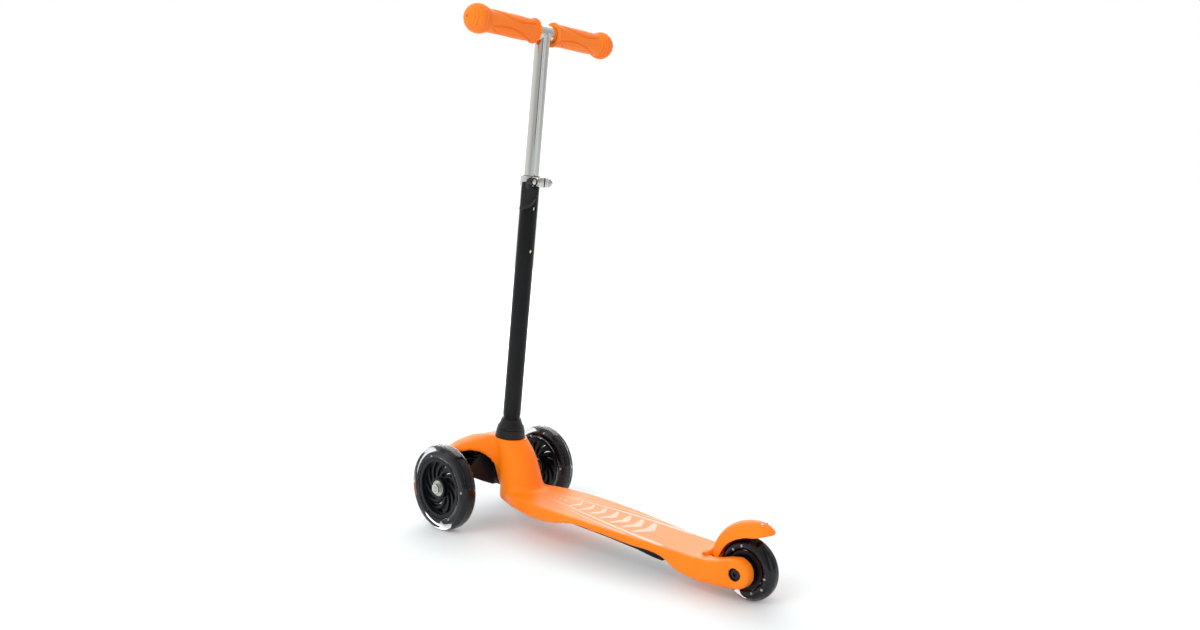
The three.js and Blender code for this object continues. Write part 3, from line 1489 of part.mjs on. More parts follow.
function scooter() {
  const group = new THREE.Group();
  group.position.x = length_offset;
  const rear_wheel = wheel("rear", rear_wheel_radius, rear_hub_radius, rear_tyre_shares, false, 0);
  rear_wheel.position.set(rear_axle_x, 0, rear_wheel_radius);
  const [barrel_rear, barrel_front] = barrelEnds();
  group.add(
    piece("deck_shell", deckShell(), orange_plastic),
    piece("underside_plate", undersidePlate(), black_plastic),
    piece("lean_bolt", leanBolt(), steel),
    piece("carriage_beam", carriageBeam(), black_plastic),
    piece("rear_lean_bush", leanBush(barrel_rear, -1), black_plastic),
    piece("front_lean_bush", leanBush(barrel_front, 1), black_plastic),
    ...centringSprings(),
    steeringSide("left", 1),
    steeringSide("right", -1),
    piece("tie_rod", tieRod(), steel),
    piece("steering_peg", steeringPeg(), steel),
    stem(),
    rear_wheel,
    piece("rear_axle", rearAxle(), steel),
    piece("rear_axle_nut", rearNut(), steel),
    piece("rear_fender", rearFender(), orange_plastic),
    piece("brake_plate", brakePlate(), steel),
    piece("fender_pin", fenderPin(), steel),
    piece("fender_spring", torsionSpring(), steel),
  );
  const scene = new THREE.Group();
  scene.add(group);
  return scene;
}

export default scooter();
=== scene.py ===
# %% [markdown]
# # A three wheel kids scooter in Blender
#
# The scooter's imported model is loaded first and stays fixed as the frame. Around it this lesson builds the
# surfaces that the eye sees: an orange moulded footboard, rubber grips, chrome and painted tubes, clear cast
# tyres over dark cores, and the small steel parts. Every piece is worked out in millimetres from the front
# axle line, as the solids are, and then put in its place in metres.

# %% Load the frame
import math
from contextlib import contextmanager

import bmesh
import bpy
import numpy as np
from mathutils import Matrix, Vector


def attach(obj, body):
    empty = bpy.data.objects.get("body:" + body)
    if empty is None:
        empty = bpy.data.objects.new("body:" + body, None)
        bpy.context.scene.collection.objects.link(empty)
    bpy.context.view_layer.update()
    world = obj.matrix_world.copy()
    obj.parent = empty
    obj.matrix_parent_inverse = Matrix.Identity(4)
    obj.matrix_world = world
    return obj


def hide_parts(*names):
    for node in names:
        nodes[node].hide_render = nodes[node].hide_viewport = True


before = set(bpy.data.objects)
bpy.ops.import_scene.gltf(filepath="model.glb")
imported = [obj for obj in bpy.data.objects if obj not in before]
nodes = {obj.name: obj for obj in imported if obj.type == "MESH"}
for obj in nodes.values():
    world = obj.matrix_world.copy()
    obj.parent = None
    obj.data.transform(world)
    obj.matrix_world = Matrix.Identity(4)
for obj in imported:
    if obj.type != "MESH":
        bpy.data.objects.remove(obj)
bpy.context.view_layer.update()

# %% [markdown]
# ## Places and sizes
#
# The front axle line is at X = 0 in the drawing, and the row's frame has its origin under the middle of the
# scooter, so one shift joins the two. The stem leans back a little, so the pieces on it are drawn upright and
# turned by one matrix. That keeps each of them a plain turned profile, which is how they are made.

# %% Sizes shared by several pieces
FRONT_AXLE_X = 213.25
FRONT_RADIUS, REAR_RADIUS = 60.0, 37.5
WHEELBASE, WHEEL_Y = 449.0, 95.5
STEM_LEAN = math.radians(5.7)
STEM_FOOT = np.array([-31.2, 0.0, 123.7])
STEM_LENGTH, TUBE_TOP, TUBE, BAR = 568.5, 376.0, 12.7, 10.8
BUTTON_HOLE, UPPER_HOLE = 271, 331
REAR_AXLE = (-WHEELBASE, 0, REAR_RADIUS)
HINGE, HINGE_BORE = (-396.9, 0, 44.0), 2.3
LEAN_LINE = (0, 0, 64.0)
PEG_PLACE = (16.733, 0, 0)
STEM_TOP, STEM_SCREW = (0, 0, STEM_LENGTH), (0, 0, -20)
SIDES = ((1, "left"), (-1, "right"))


def in_metres(points):
    """Points in millimetres from the front axle line, moved to the row's frame in metres."""
    return (np.asarray(points, float) + [FRONT_AXLE_X, 0.0, 0.0]) / 1000.0


def in_millimetres(points):
    """Points of a mesh in metres, moved back to the drawing, as X, Y and Z."""
    return (points * 1000 - [FRONT_AXLE_X, 0, 0]).T


def on_stem(points):
    """Points drawn with the stem upright, leaned back about Y and moved to the stem's foot."""
    x, y, z = np.moveaxis(np.asarray(points, float), -1, 0)
    c, s = math.cos(STEM_LEAN), math.sin(STEM_LEAN)
    return np.stack([x * c - z * s, y, x * s + z * c], -1) + STEM_FOOT


# %% [markdown]
# ## From arrays to meshes
#
# A turned part, a moulded shell and a bent blade are all rings of points in a row. So one function takes an
# array of rings and joins neighbours with quads. Drawing faces by hand would give the same mesh, but the
# array keeps the shape's formula in sight. The faces are turned outwards at the end.

# %% Rings of points into a closed mesh
SAME_PLACE = 1e-6


def circle(steps):
    """Angles all round, in equal steps."""
    return np.linspace(0, 2 * math.pi, steps, endpoint=False)


def points_at(x, y, z):
    """Points from three arrays, each spread to their common shape."""
    return np.stack(np.broadcast_arrays(x, y, z), -1)


def about_y(radius, angle, y):
    """Points at these radii and angles round Y."""
    return points_at(radius * np.cos(angle), y, radius * np.sin(angle))


def out_and_back(out, back):
    """Rows of values one way, and of others on the way back."""
    return np.concatenate([out, back[..., ::-1]], -1)


def grid_faces(rows, cols, closed_rows=False):
    """Quads between rings: row i meets row i + 1, and the last column meets the first."""
    i = np.arange(rows if closed_rows else rows - 1)[:, None]
    j = np.arange(cols)[None, :]
    i2, j2 = (i + 1) % rows, (j + 1) % cols
    quads = np.stack(np.broadcast_arrays(i * cols + j, i * cols + j2, i2 * cols + j2, i2 * cols + j), -1)
    return quads.reshape(-1, 4)


def linked(name, data):
    """An object of this name for a mesh, a lamp or a camera, in the scene."""
    piece = bpy.data.objects.new(name, data)
    bpy.context.scene.collection.objects.link(piece)
    return piece


@contextmanager
def editing(mesh):
    """The mesh opened for editing, and written back at the end."""
    work = bmesh.new()
    work.from_mesh(mesh)
    yield work
    work.to_mesh(mesh)
    work.free()


def made(name, points, faces):
    """An object at the origin with these points, in metres, its faces turned outwards."""
    mesh = bpy.data.meshes.new(name)
    mesh.from_pydata(np.asarray(points).tolist(), [], faces)
    with editing(mesh) as work:
        bmesh.ops.remove_doubles(work, verts=work.verts, dist=SAME_PLACE)
        bmesh.ops.recalc_face_normals(work, faces=work.faces)
    return linked(name, mesh)


def lofted(name, rings, closed=False, stem=False):
    """A closed surface through rings of points in millimetres; open ends get one flat face each."""
    rows, cols, _ = rings.shape
    faces = grid_faces(rows, cols, closed).tolist()
    if not closed:
        faces += [list(range(cols))[::-1], list(range((rows - 1) * cols, rows * cols))]
    return made(name, in_metres((on_stem(rings) if stem else rings).reshape(-1, 3)), faces)


def turned(name, profile, axis, sides=96, centre=(0, 0, 0), stem=False, closed=False):
    """A profile of (radius, place along the axis) carried round X, Y or Z; if closed, it returns to its start."""
    radius, along = np.asarray(profile, float).T[:, :, None]
    a, b = radius * np.cos(circle(sides)), radius * np.sin(circle(sides))
    rings = points_at(*{"x": (along, a, b), "y": (b, along, a), "z": (a, b, along)}[axis])
    return lofted(name, rings + np.asarray(centre, float), closed, stem)


def rod(radius, low, high, axis="z", centre=(0, 0, 0), sides=64, stem=False, name="rod"):
    """A plain cylinder between two places along its axis."""
    return turned(name, [(0, low), (radius, low), (radius, high), (0, high)], axis, sides, centre, stem)


def rod_pair(radius, low, high, centre):
    """Two cylinders along Y, mirrored about the middle."""
    return [rod(radius, a, b, "y", centre) for a, b in ((low, high), (-high, -low))]


def block(x, y, z, stem=False):
    """A plain box between two values on each axis."""
    corners = [[(a, b, c) for b, c in ((y[0], z[0]), (y[1], z[0]), (y[1], z[1]), (y[0], z[1]))] for a in x]
    return lofted("block", np.array(corners, float), stem=stem)


# %% [markdown]
# Many shapes are known only at a few stations. A monotone cubic passes through each of them and never
# overshoots, so a curve that is flat stays flat, which a plain spline would not promise.

# %% Smooth curves through stations
def through(places, values, wanted):
    """Monotone cubic: slopes are harmonic means of the chords beside each station, zero at a turn."""
    places, values = np.asarray(places, float), np.asarray(values, float)
    step = np.diff(places)[:, None]
    chord = np.diff(values, axis=0) / step
    slope = np.zeros_like(values)
    slope[0], slope[-1] = chord[0], chord[-1]
    before, after = chord[:-1], chord[1:]
    same = before * after > 0
    total = np.where(same, before + after, 1.0)
    slope[1:-1] = np.where(same, 2 * before * after / total, 0.0)
    i = np.clip(np.searchsorted(places, wanted, side="right") - 1, 0, len(places) - 2)
    t = ((wanted - places[i]) / step[i, 0])[:, None]
    h = step[i]
    return (
        values[i] * (2 * t**3 - 3 * t**2 + 1)
        + values[i + 1] * (3 * t**2 - 2 * t**3)
        + h * slope[i] * (t**3 - 2 * t**2 + t)
        + h * slope[i + 1] * (t**3 - t**2)
    )


# %% [markdown]
# Moulded and machined parts are joined and cut as in a workshop. Each cut is a modifier that is applied at
# once, so the tool can be thrown away. A voxel remesh gives one even skin over bodies that meet, but it
# leaves faint steps. Moving each point towards the mean of its neighbours wears them off, and also shrinks
# the shape. So a round inwards is followed by a slightly longer round outwards, which keeps the size, and
# only where a mould has a soft blend is the inward round used alone.

# %% Joining, cutting and smoothing
def applied(piece, kind, **settings):
    """The piece with one modifier worked into its mesh."""
    modifier = piece.modifiers.new(kind, kind)
    for key, value in settings.items():
        setattr(modifier, key, value)
    shaped = bpy.data.meshes.new_from_object(piece.evaluated_get(bpy.context.evaluated_depsgraph_get()))
    piece.modifiers.clear()
    old, piece.data = piece.data, shaped
    bpy.data.meshes.remove(old)
    return piece


def worked(piece, operation, *tools):
    """Joins (UNION), cuts (DIFFERENCE) or keeps the common part (INTERSECT) with each tool, and removes it."""
    for tool in tools:
        applied(piece, "BOOLEAN", operation=operation, object=tool, solver="MANIFOLD")
        bpy.data.objects.remove(tool)
    return piece


def softened(piece, width_mm, degrees=32.0, segments=3):
    """Edges sharper than the angle get a small round."""
    return applied(
        piece, "BEVEL", width=width_mm / 1000, segments=segments, limit_method="ANGLE",
        angle_limit=math.radians(degrees), use_clamp_overlap=True,
    )


def joined(name, parts):
    """One object from several, in the order given."""
    mesh = bpy.data.meshes.new(name)
    with editing(mesh) as work:
        for part in parts:
            work.from_mesh(part.data)
            bpy.data.objects.remove(part)
    return linked(name, mesh)


def remeshed(piece, voxel_mm):
    """One even skin of quads over everything that the piece joins."""
    return applied(piece, "REMESH", mode="VOXEL", voxel_size=voxel_mm / 1000.0)


def relaxed(piece, rounds, blend=None):
    """Moves points towards their neighbours' mean by the blend weight, and elsewhere in and out by turns."""
    inward, outward = 0.5, -0.52
    edges = np.empty(len(piece.data.edges) * 2, np.int32)
    piece.data.edges.foreach_get("vertices", edges)
    a, b = edges.reshape(-1, 2).T
    flat = np.empty(len(piece.data.vertices) * 3)
    piece.data.vertices.foreach_get("co", flat)
    points = flat.reshape(-1, 3)
    size = len(points)
    count = np.bincount(np.concatenate([a, b]), minlength=size)[:, None]
    weight = np.zeros((size, 1)) if blend is None else blend(points)[:, None]
    for turn in range(rounds):
        mean = np.stack([np.bincount(a, p[b], size) + np.bincount(b, p[a], size) for p in points.T], -1) / count
        in_or_out = inward if turn % 2 == 0 else outward
        points += (weight * inward + (1 - weight) * in_or_out) * (mean - points)
    piece.data.vertices.foreach_set("co", points.ravel())
    piece.data.update()
    return piece


def finished(piece, degrees, body, finish, *replaced, slot=None):
    """Soft shading over edges flatter than the angle, then finish, body and the solids it stands for; the slot is
    looked up but not given to the piece.
    """
    usual_slot, material = finishes[finish]
    slot = slot or usual_slot
    piece.data.shade_smooth()
    piece.data.set_sharp_from_angle(angle=math.radians(degrees))
    piece.data.materials.clear()
    piece.data.materials.append(material)
    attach(piece, body)
    if replaced:
        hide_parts(*replaced)
    return piece


# %% [markdown]
# ## Finishes
#
# Each finish starts from what the real thing is made of and how. Colours are written as the hex values that
# a paint chart would give, and one function turns them to the linear light that Blender works in.

# %% Colour and node helpers
def linear(hex_colour):
    """sRGB hex to linear RGBA."""
    parts = np.array([int(hex_colour[i : i + 2], 16) for i in (1, 3, 5)]) / 255.0
    low, high = parts / 12.92, ((parts + 0.055) / 1.055) ** 2.4
    return (*np.where(parts <= 0.04045, low, high).tolist(), 1.0)


def add_node(tree, kind, settings=(), links=(), **inputs):
    """One node with its settings, its input values and the links that come into it."""
    node = tree.nodes.new(kind)
    for key, value in dict(settings).items():
        setattr(node, key, value)
    for key, value in inputs.items():
        node.inputs[key.replace("_", " ")].default_value = value
    for source, target in links:
        tree.links.new(source, node.inputs[target])
    return node


def maths(tree, operation, a, b, **settings):
    """The result of one Math node on two sockets."""
    return add_node(tree, "ShaderNodeMath", {"operation": operation, **settings}, [(a, 0), (b, 1)]).outputs["Value"]


def surface(name, **inputs):
    """A material with one Principled surface; returns it with its tree and shader."""
    material = bpy.data.materials.new(name)
    material.use_nodes = True
    tree = material.node_tree
    shader = tree.nodes["Principled BSDF"]
    for key, value in inputs.items():
        shader.inputs[key.replace("_", " ")].default_value = value
    return material, tree, shader


def noise(tree, place, size_mm, detail, **inputs):
    """Noise whose cells are size_mm wide on the object."""
    return add_node(
        tree, "ShaderNodeTexNoise", links=[(place.outputs["Object"], "Vector")],
        Scale=1000.0 / size_mm, Detail=detail, **inputs,
    ).outputs["Fac"]


def grain(tree, shader, place, size_mm, depth_mm, detail):
    """Fine surface noise as bump."""
    height = noise(tree, place, size_mm, detail, Roughness=0.55)
    bump = add_node(tree, "ShaderNodeBump", links=[(height, "Height")], Strength=1.0, Distance=depth_mm / 1000.0)
    tree.links.new(bump.outputs["Normal"], shader.inputs["Normal"])


def varied(tree, shader, place, colours, size_mm):
    """Slow drift between two colours over the surface, as in moulded or rubbed goods."""
    ramp = add_node(tree, "ShaderNodeValToRGB", links=[(noise(tree, place, size_mm, 2.0), "Fac")])
    for element, position, colour in zip(ramp.color_ramp.elements, (0.35, 0.65), colours):
        element.position = position
        element.color = linear(colour)
    tree.links.new(ramp.outputs["Color"], shader.inputs["Base Color"])


def uneven_gloss(tree, shader, place, size_mm, low, high):
    """Roughness that drifts between two values, as handled and moulded surfaces do."""
    span = add_node(
        tree, "ShaderNodeMapRange", links=[(noise(tree, place, size_mm, 4.0), "Value")], To_Min=low, To_Max=high,
    )
    tree.links.new(span.outputs["Result"], shader.inputs["Roughness"])


# %% Moulded, painted and plated finishes
# finish: slot in the record, light and dark colour, roughness, grain and its depth in mm, level of the sheen
MOULDED = {
    "orange_moulding": ("orange_plastic", "#FF8214", "#FF7C0E", 0.36, 0.9, 0.012, 0.22),
    "orange_rubber": ("orange_rubber", "#FF8018", "#FF7812", 0.55, 0.7, 0.02, 0.4),
    "black_moulding": ("black_plastic", "#1A191C", "#131215", 0.42, 0.9, 0.012, 0.35),
    "black_hub": ("black_plastic", "#121115", "#0C0B0F", 0.34, 0.9, 0.012, 0.22),
    "black_powder_coat": ("black_paint", "#111113", "#0C0C0E", 0.34, 1.4, 0.01, 0.22),
    "glossy_black": ("black_plastic", "#141316", "#0F0E11", 0.24, 0.9, 0.012, 0.4),
    "pale_ink": ("orange_plastic", "#FBC4AE", "#F8B9A4", 0.5, 0.5, 0.004, 0.5),
    "tyre_core": ("tyre", "#15131C", "#0D0B12", 0.5, 4.0, 0.0, 0.05),
}
# finish: slot in the record, colour, roughness, waviness and its depth in mm
PLATED = {
    "bright_chrome": ("steel", "#D8D7D3", 0.07, 8.0, 0.002),
    "brass_plate": ("steel", "#EFE6BE", 0.3, 3.0, 0.004),
    "zinc_plate": ("steel", "#B9B8B4", 0.28, 3.0, 0.004),
    "dark_steel": ("steel", "#3A393B", 0.4, 3.0, 0.004),
    "spring_steel": ("steel", "#55545A", 0.35, 3.0, 0.004),
}


def moulded(name, light, dark, roughness, grain_mm, depth_mm, sheen):
    """Injection moulded plastic: coloured through, a fine spark grain from the mould, a soft sheen."""
    material, tree, shader = surface(name, IOR=1.49, Specular_IOR_Level=sheen)
    place = add_node(tree, "ShaderNodeTexCoord")
    grain(tree, shader, place, grain_mm, depth_mm, 3.0)
    varied(tree, shader, place, (dark, light), 70.0)
    uneven_gloss(tree, shader, place, 25.0, roughness - 0.05, roughness + 0.05)
    return material


def plated(name, colour, roughness, wave_mm, depth_mm):
    """Plated steel: metallic, with the faint waviness that tube drawing leaves."""
    material, tree, shader = surface(name, Metallic=1.0, Base_Color=linear(colour))
    place = add_node(tree, "ShaderNodeTexCoord")
    grain(tree, shader, place, wave_mm, depth_mm, 2.0)
    uneven_gloss(tree, shader, place, 12.0, roughness * 0.8, roughness * 1.25)
    return material


def cast_polyurethane(name):
    """Clear cast tyre: it bends light as glass does, slightly smoky, with a polished skin."""
    material, tree, shader = surface(name, IOR=1.42, Roughness=0.0, Transmission_Weight=1.0)
    varied(tree, shader, add_node(tree, "ShaderNodeTexCoord"), ("#F4F3F6", "#EFEEF3"), 30.0)
    return material


finishes = {name: (slot, moulded(name, *values)) for name, (slot, *values) in MOULDED.items()}
finishes |= {name: (slot, plated(name, *values)) for name, (slot, *values) in PLATED.items()}
finishes["clear_tyre"] = "tyre", cast_polyurethane("clear_cast_polyurethane")
finishes["lamp_lens"] = "tyre", surface("lamp_lens", Base_Color=linear("#E8E6E2"), Roughness=0.12, IOR=1.49)[0]

# %% [markdown]
# ## The orange footboard
#
# The footboard is one injection moulding: a waisted board, a round column that rises into the stem's socket,
# a hood that arches over the steering, and a fork for the rear wheel. Each is a loft through measured
# stations. They are joined, remeshed and relaxed where they meet, and then the hollows are cut, so that the
# blends are soft and the walls keep their thickness.

# %% Stations of the board, the column and the hood
# distance back, half width, top, bottom
DECK_SHARES = np.array([
    [0.067, 0.29, 1.035, 0.713], [0.091, 0.506, 1.028, 0.685], [0.134, 0.647, 1.019, 0.678],
    [0.174, 0.784, 1.006, 0.67], [0.223, 0.892, 1, 0.667], [0.278, 0.973, 0.993, 0.648],
    [0.334, 1, 0.985, 0.648], [0.383, 0.996, 0.978, 0.689], [0.423, 0.98, 0.967, 0.752],
    [0.459, 0.957, 0.957, 0.8], [0.557, 0.912, 0.922, 0.759], [0.668, 0.824, 0.878, 0.681],
    [0.724, 0.765, 0.856, 0.659], [0.764, 0.725, 0.839, 0.602], [0.788, 0.718, 0.831, 0.519],
    [0.815, 0.718, 0.824, 0.407], [0.857, 0.716, 0.815, 0.344], [0.902, 0.706, 0.833, 0.322],
    [0.947, 0.678, 0.907, 0.33], [0.973, 0.663, 0.978, 0.35],
])
DECK_SIZES = np.array([WHEELBASE, 51.0, 54.0, 54.0])
# height, setback, radius
COLUMN_SHARES = np.array([
    [0.36, 1.043, 1.08], [0.41, 1.035, 1.05], [0.485, 1, 1], [0.582, 0.937, 0.977], [0.679, 0.882, 0.945],
    [0.768, 0.835, 0.897], [0.833, 0.795, 0.848], [0.905, 0.704, 0.806], [0.97, 0.591, 0.761],
    [1.012, 0.557, 0.729], [1.06, 0.565, 0.729],
])
COLUMN = COLUMN_SHARES * [STEM_FOOT[2], -57.5, 31.0]
# distance out, rear reach, front reach, top, rim
HOOD_SHARES = np.array([
    [0, 1, 1, 1, 0.392], [0.11, 1, 1, 1, 0.402], [0.19, 0.92, 0.99, 0.998, 0.44], [0.26, 0.81, 0.985, 0.994, 0.56],
    [0.34, 0.5, 0.98, 0.985, 0.685], [0.408, 0.423, 0.97, 0.974, 0.749], [0.476, 0.308, 0.96, 0.96, 0.794],
    [0.571, 0.158, 0.945, 0.941, 0.823], [0.68, 0.019, 0.925, 0.918, 0.83], [0.789, -0.11, 0.9, 0.89, 0.82],
    [0.898, -0.246, 0.865, 0.872, 0.831], [1, -0.35, 0.8, 0.86, 0.837],
])
HOOD_SPAN = 73.5
HOOD = HOOD_SHARES * [HOOD_SPAN, -52.0, 41.0, 125.5, 125.5]
HOOD_ROUNDNESS = 2.6
FORK_HALF, FORK_RADIUS, FORK_TAPER = 33.0, 17.5, 2.5
TOP_EDGE, BOTTOM_EDGE = 6.0, 4.0


def fork_end_rows(angle):
    """The fork's ends are an arc about the rear axle that narrows a little."""
    reach, rise = FORK_RADIUS * np.sin(angle), FORK_RADIUS * np.cos(angle)
    half = FORK_HALF - FORK_TAPER * np.sin(angle)
    return np.stack([-WHEELBASE - reach, half, REAR_RADIUS + rise, REAR_RADIUS - rise], -1)


def deck_rows():
    """Rows of (x, half width, top, bottom): a curve through the stations, then the round ends of the fork."""
    stations = np.concatenate([DECK_SHARES * DECK_SIZES * [-1, 1, 1, 1], fork_end_rows(np.zeros(1))])
    back = np.linspace(-stations[0, 0], WHEELBASE, 110)
    curve = through(-stations[:, 0], stations[:, 1:], back)
    return np.concatenate([np.column_stack([-back, curve]), fork_end_rows(np.radians(np.linspace(6, 87, 12)))])


def board_rings(rows, steps=10):
    """Across the board: a rectangle whose corners are quarter circles, larger above than below."""
    x, half, top, bottom = rows.T[:, :, None]
    limit = 0.45 * (top - bottom)
    low, high = np.minimum(BOTTOM_EDGE, limit), np.minimum(TOP_EDGE, limit)
    a, b = np.linspace(-math.pi / 2, 0, steps), np.linspace(0, math.pi / 2, steps)
    y = np.concatenate([half - low + low * np.cos(a), half - high + high * np.cos(b)], 1)
    z = np.concatenate([bottom + low + low * np.sin(a), top - high + high * np.sin(b)], 1)
    return points_at(x, out_and_back(y, -y), out_and_back(z, z))


def column_rings(wall=0.0, sides=96, foot=None):
    """Circles whose centre and radius follow the column's stations up to the collar."""
    height = np.linspace(COLUMN[0, 0], COLUMN[-1, 0], 60)
    rows = np.column_stack([height, through(COLUMN[:, 0], COLUMN[:, 1:], height)])
    if foot is not None:
        rows = np.insert(rows, 0, [foot, *rows[0, 1:]], 0)
    height, centre, radius = rows.T[:, :, None]
    reach, angle = radius - wall, circle(sides)
    return points_at(centre + reach * np.cos(angle), reach * np.sin(angle), height)


def hood_at(out):
    """Rear reach, front reach, top and rim of the hood at a distance out from the middle."""
    return through(HOOD[:, 0], HOOD[:, 1:], out)


def hood_rows():
    """Rows of (y, rear, front, top, rim) from the right end of the hood to the left."""
    out = np.linspace(0, HOOD_SPAN, 50)
    half = np.column_stack([out, hood_at(out)])
    return np.concatenate([half[:0:-1] * [-1, 1, 1, 1, 1], half])


def hood_rings(rows, inset=0.0, front_inset=0.0, legs=False, steps=48):
    """Superellipse arches: |x/a|^n + |z/c|^n = 1 over the rim, n = 2.6, with legs down to the floor if asked."""
    y, rear, front, top, rim = rows.T[:, :, None]
    low, high = rear + inset, front - np.reshape(front_inset, (-1, 1))
    angle = np.linspace(0, math.pi, steps)
    power = 2 / HOOD_ROUNDNESS
    across = np.sign(np.cos(angle)) * np.abs(np.cos(angle)) ** power
    x = (low + high) / 2 + (high - low) / 2 * across
    z = rim + (top - inset - rim) * np.abs(np.sin(angle)) ** power
    if legs:
        x = np.concatenate([x, low, high], 1)
        z = np.concatenate([z, rim * 0, rim * 0], 1)
    return points_at(x, y, z)


def blend_weight(points):
    """1 on and beside the column, where the mould has its large soft corners, and 0 from 15 mm away."""
    x, y, z = in_millimetres(points)
    centre, radius = through(COLUMN[:, 0], COLUMN[:, 1:], np.clip(z, COLUMN[0, 0], COLUMN[-1, 0])).T
    away = np.abs(np.hypot(x - centre, y) - radius)
    return np.clip(1.25 - away / 12, 0, 1) * np.clip((z - 44) / 8, 0, 1)


JOIN_VOXEL, JOIN_ROUNDS = 2.0, 26
EDGE_VOXEL, EDGE_ROUNDS = 1.7, 6
skin = lofted("deck_skin", board_rings(deck_rows()))
worked(skin, "UNION", lofted("column", column_rings()), lofted("hood", hood_rings(hood_rows())))
relaxed(remeshed(skin, JOIN_VOXEL), JOIN_ROUNDS, blend_weight)

# %% [markdown]
# The hollows come next: the hood's inside, where the steering rocks, the pocket under the board, the arch
# for the rear wheel and the pocket for the fender's hinge. A second remesh then rounds the edges that these
# cuts leave, as a mould does. Ribs and bores are cut after it, because they are finer than its voxels.

# %% Rooms inside the moulding
WALL, HOOD_WALL, NOSE_WALL = 4.0, 3.5, 10.0
ROOM_REAR = -24.5
POCKET_FRONT, POCKET_REAR = -0.17 * WHEELBASE, -0.868 * WHEELBASE
WHEEL_ARCH, FORK_GAP = 43.5, 15.5
BEAM_ROOM, SOCKET, BOLT_BORE, PEG_BORE = 15.6, 17.4, 5.3, 4.3
RIB_HALF, RIB_Y = 1.2, 16.0


def hood_room():
    """The hood's arch drawn in by the wall, thicker at the nose, open below."""
    rows = hood_rows()
    out = np.abs(rows[:, 0]) / HOOD_SPAN
    nose = HOOD_WALL + np.clip((0.42 - out) / 0.1, 0, 1) * (NOSE_WALL - HOOD_WALL)
    rows[:, 0] *= (HOOD_SPAN - HOOD_WALL) / HOOD_SPAN
    rows[:, 3] = np.maximum(rows[:, 3], rows[:, 4] + HOOD_WALL * 2)
    room = lofted("hood_room", hood_rings(rows, HOOD_WALL, nose, True))
    return worked(room, "INTERSECT", block((ROOM_REAR, 45), (-75, 75), (-1, 130)))


def board_room(front, rear, side_inset, shallow, deep):
    """The space under the board between two depths below its top."""
    x = np.linspace(front, rear, 60)
    rows = deck_rows()
    half, top = through(-rows[:, 0], rows[:, 1:3], -x).T
    y = (half - side_inset)[:, None] * [1, 1, -1, -1]
    z = top[:, None] + [-deep, -shallow, -shallow, -deep]
    return lofted("board_room", points_at(x[:, None], y, z))


worked(
    skin, "DIFFERENCE", hood_room(), rod(BEAM_ROOM, ROOM_REAR, 31, "x", LEAN_LINE),
    board_room(POCKET_FRONT, POCKET_REAR, WALL, 4.6, 54),
    rod(WHEEL_ARCH, -FORK_GAP, FORK_GAP, "y", REAR_AXLE, 128),
    block((-500, -WHEELBASE), (-FORK_GAP, FORK_GAP), (-10, 90)),
    block((-WHEELBASE, HINGE[0] + 5.2), (-12.6, 12.6), (38.8, 62)),
    *rod_pair(7.5, 25, 40, REAR_AXLE),
)
relaxed(remeshed(skin, EDGE_VOXEL), EDGE_ROUNDS)


# %% Ribs, bosses and bores
def column_room():
    """The hollow of the column, with its middle web, the bolt's boss and the stem's socket left standing."""
    rings = column_rings(WALL, 64, 0.0)
    room = lofted("column_room", rings[rings[:, 0, 2] < 0.72 * STEM_FOOT[2]])
    worked(room, "INTERSECT", block((-100, -28.5), (-40, 40), (-1, 124)))
    return worked(
        room, "DIFFERENCE", block((-100, -28.5), (-2, 2), (-2, 125)),
        rod(9.3, -100, -28.5, "x", LEAN_LINE), rod(SOCKET, -200, 0, stem=True),
    )


def ribs():
    """Two long ribs and five across, as deep as the rib space below the board."""
    space = board_room(POCKET_FRONT + 1, POCKET_REAR - 1, WALL - 0.6, 4.2, 10.0)
    cross = POCKET_FRONT + (POCKET_REAR - POCKET_FRONT) * np.arange(1, 6) / 6
    long_ribs = [
        block((POCKET_REAR - 2, POCKET_FRONT + 2), (y - RIB_HALF, y + RIB_HALF), (0, 60)) for y in (RIB_Y, -RIB_Y)
    ]
    across = [block((x - RIB_HALF, x + RIB_HALF), (-51, 51), (0, 60)) for x in cross]
    return worked(space, "INTERSECT", worked(long_ribs[0], "UNION", long_ribs[1], *across))


def hood_bosses():
    """Inside the hood: the peg's boss and the two seats of the centring springs."""
    inside = lofted("hood_inside", hood_rings(hood_rows(), 0.5))
    seats = [rod(6.9, 104, 118, "z", (0, y, 0)) for y in (-36, 36)]
    return worked(inside, "INTERSECT", worked(rod(8, 99.7, 122.5, "z", PEG_PLACE), "UNION", *seats))


worked(skin, "DIFFERENCE", column_room())
worked(
    skin, "UNION", ribs(), hood_bosses(), rod(SOCKET, -37.5, -1.5, stem=True),
    *rod_pair(7, 11.3, 19, REAR_AXLE), *rod_pair(4.4, 12.9, 17.5, HINGE),
)
worked(
    skin, "DIFFERENCE", rod(26, 0, 14, stem=True), rod(13, -36.3, 6, stem=True), rod(21.8, -1.8, 12, stem=True),
    rod(2.8, 0, 43, "x", STEM_SCREW, 32, True), rod(4.7, 16.5, 43, "x", STEM_SCREW, 48, True),
    rod(HINGE_BORE, -18.5, 18.5, "y", HINGE), rod(PEG_BORE, 90, 116.3, "z", PEG_PLACE),
    rod(4.3, -39, 39, "y", REAR_AXLE), rod(BOLT_BORE, -56.5, 47, "x", LEAN_LINE),
)
finished(skin, 40, "deck", "orange_moulding", "deck_shell")

# %% [markdown]
# Only black shows under the arch. The moulding is orange through, so the faces that lie inside the hood get a
# second, black slot: painted shade for the dark under the arch.

# %% Painted shade inside the hood
SHADE_INSET = 1.8


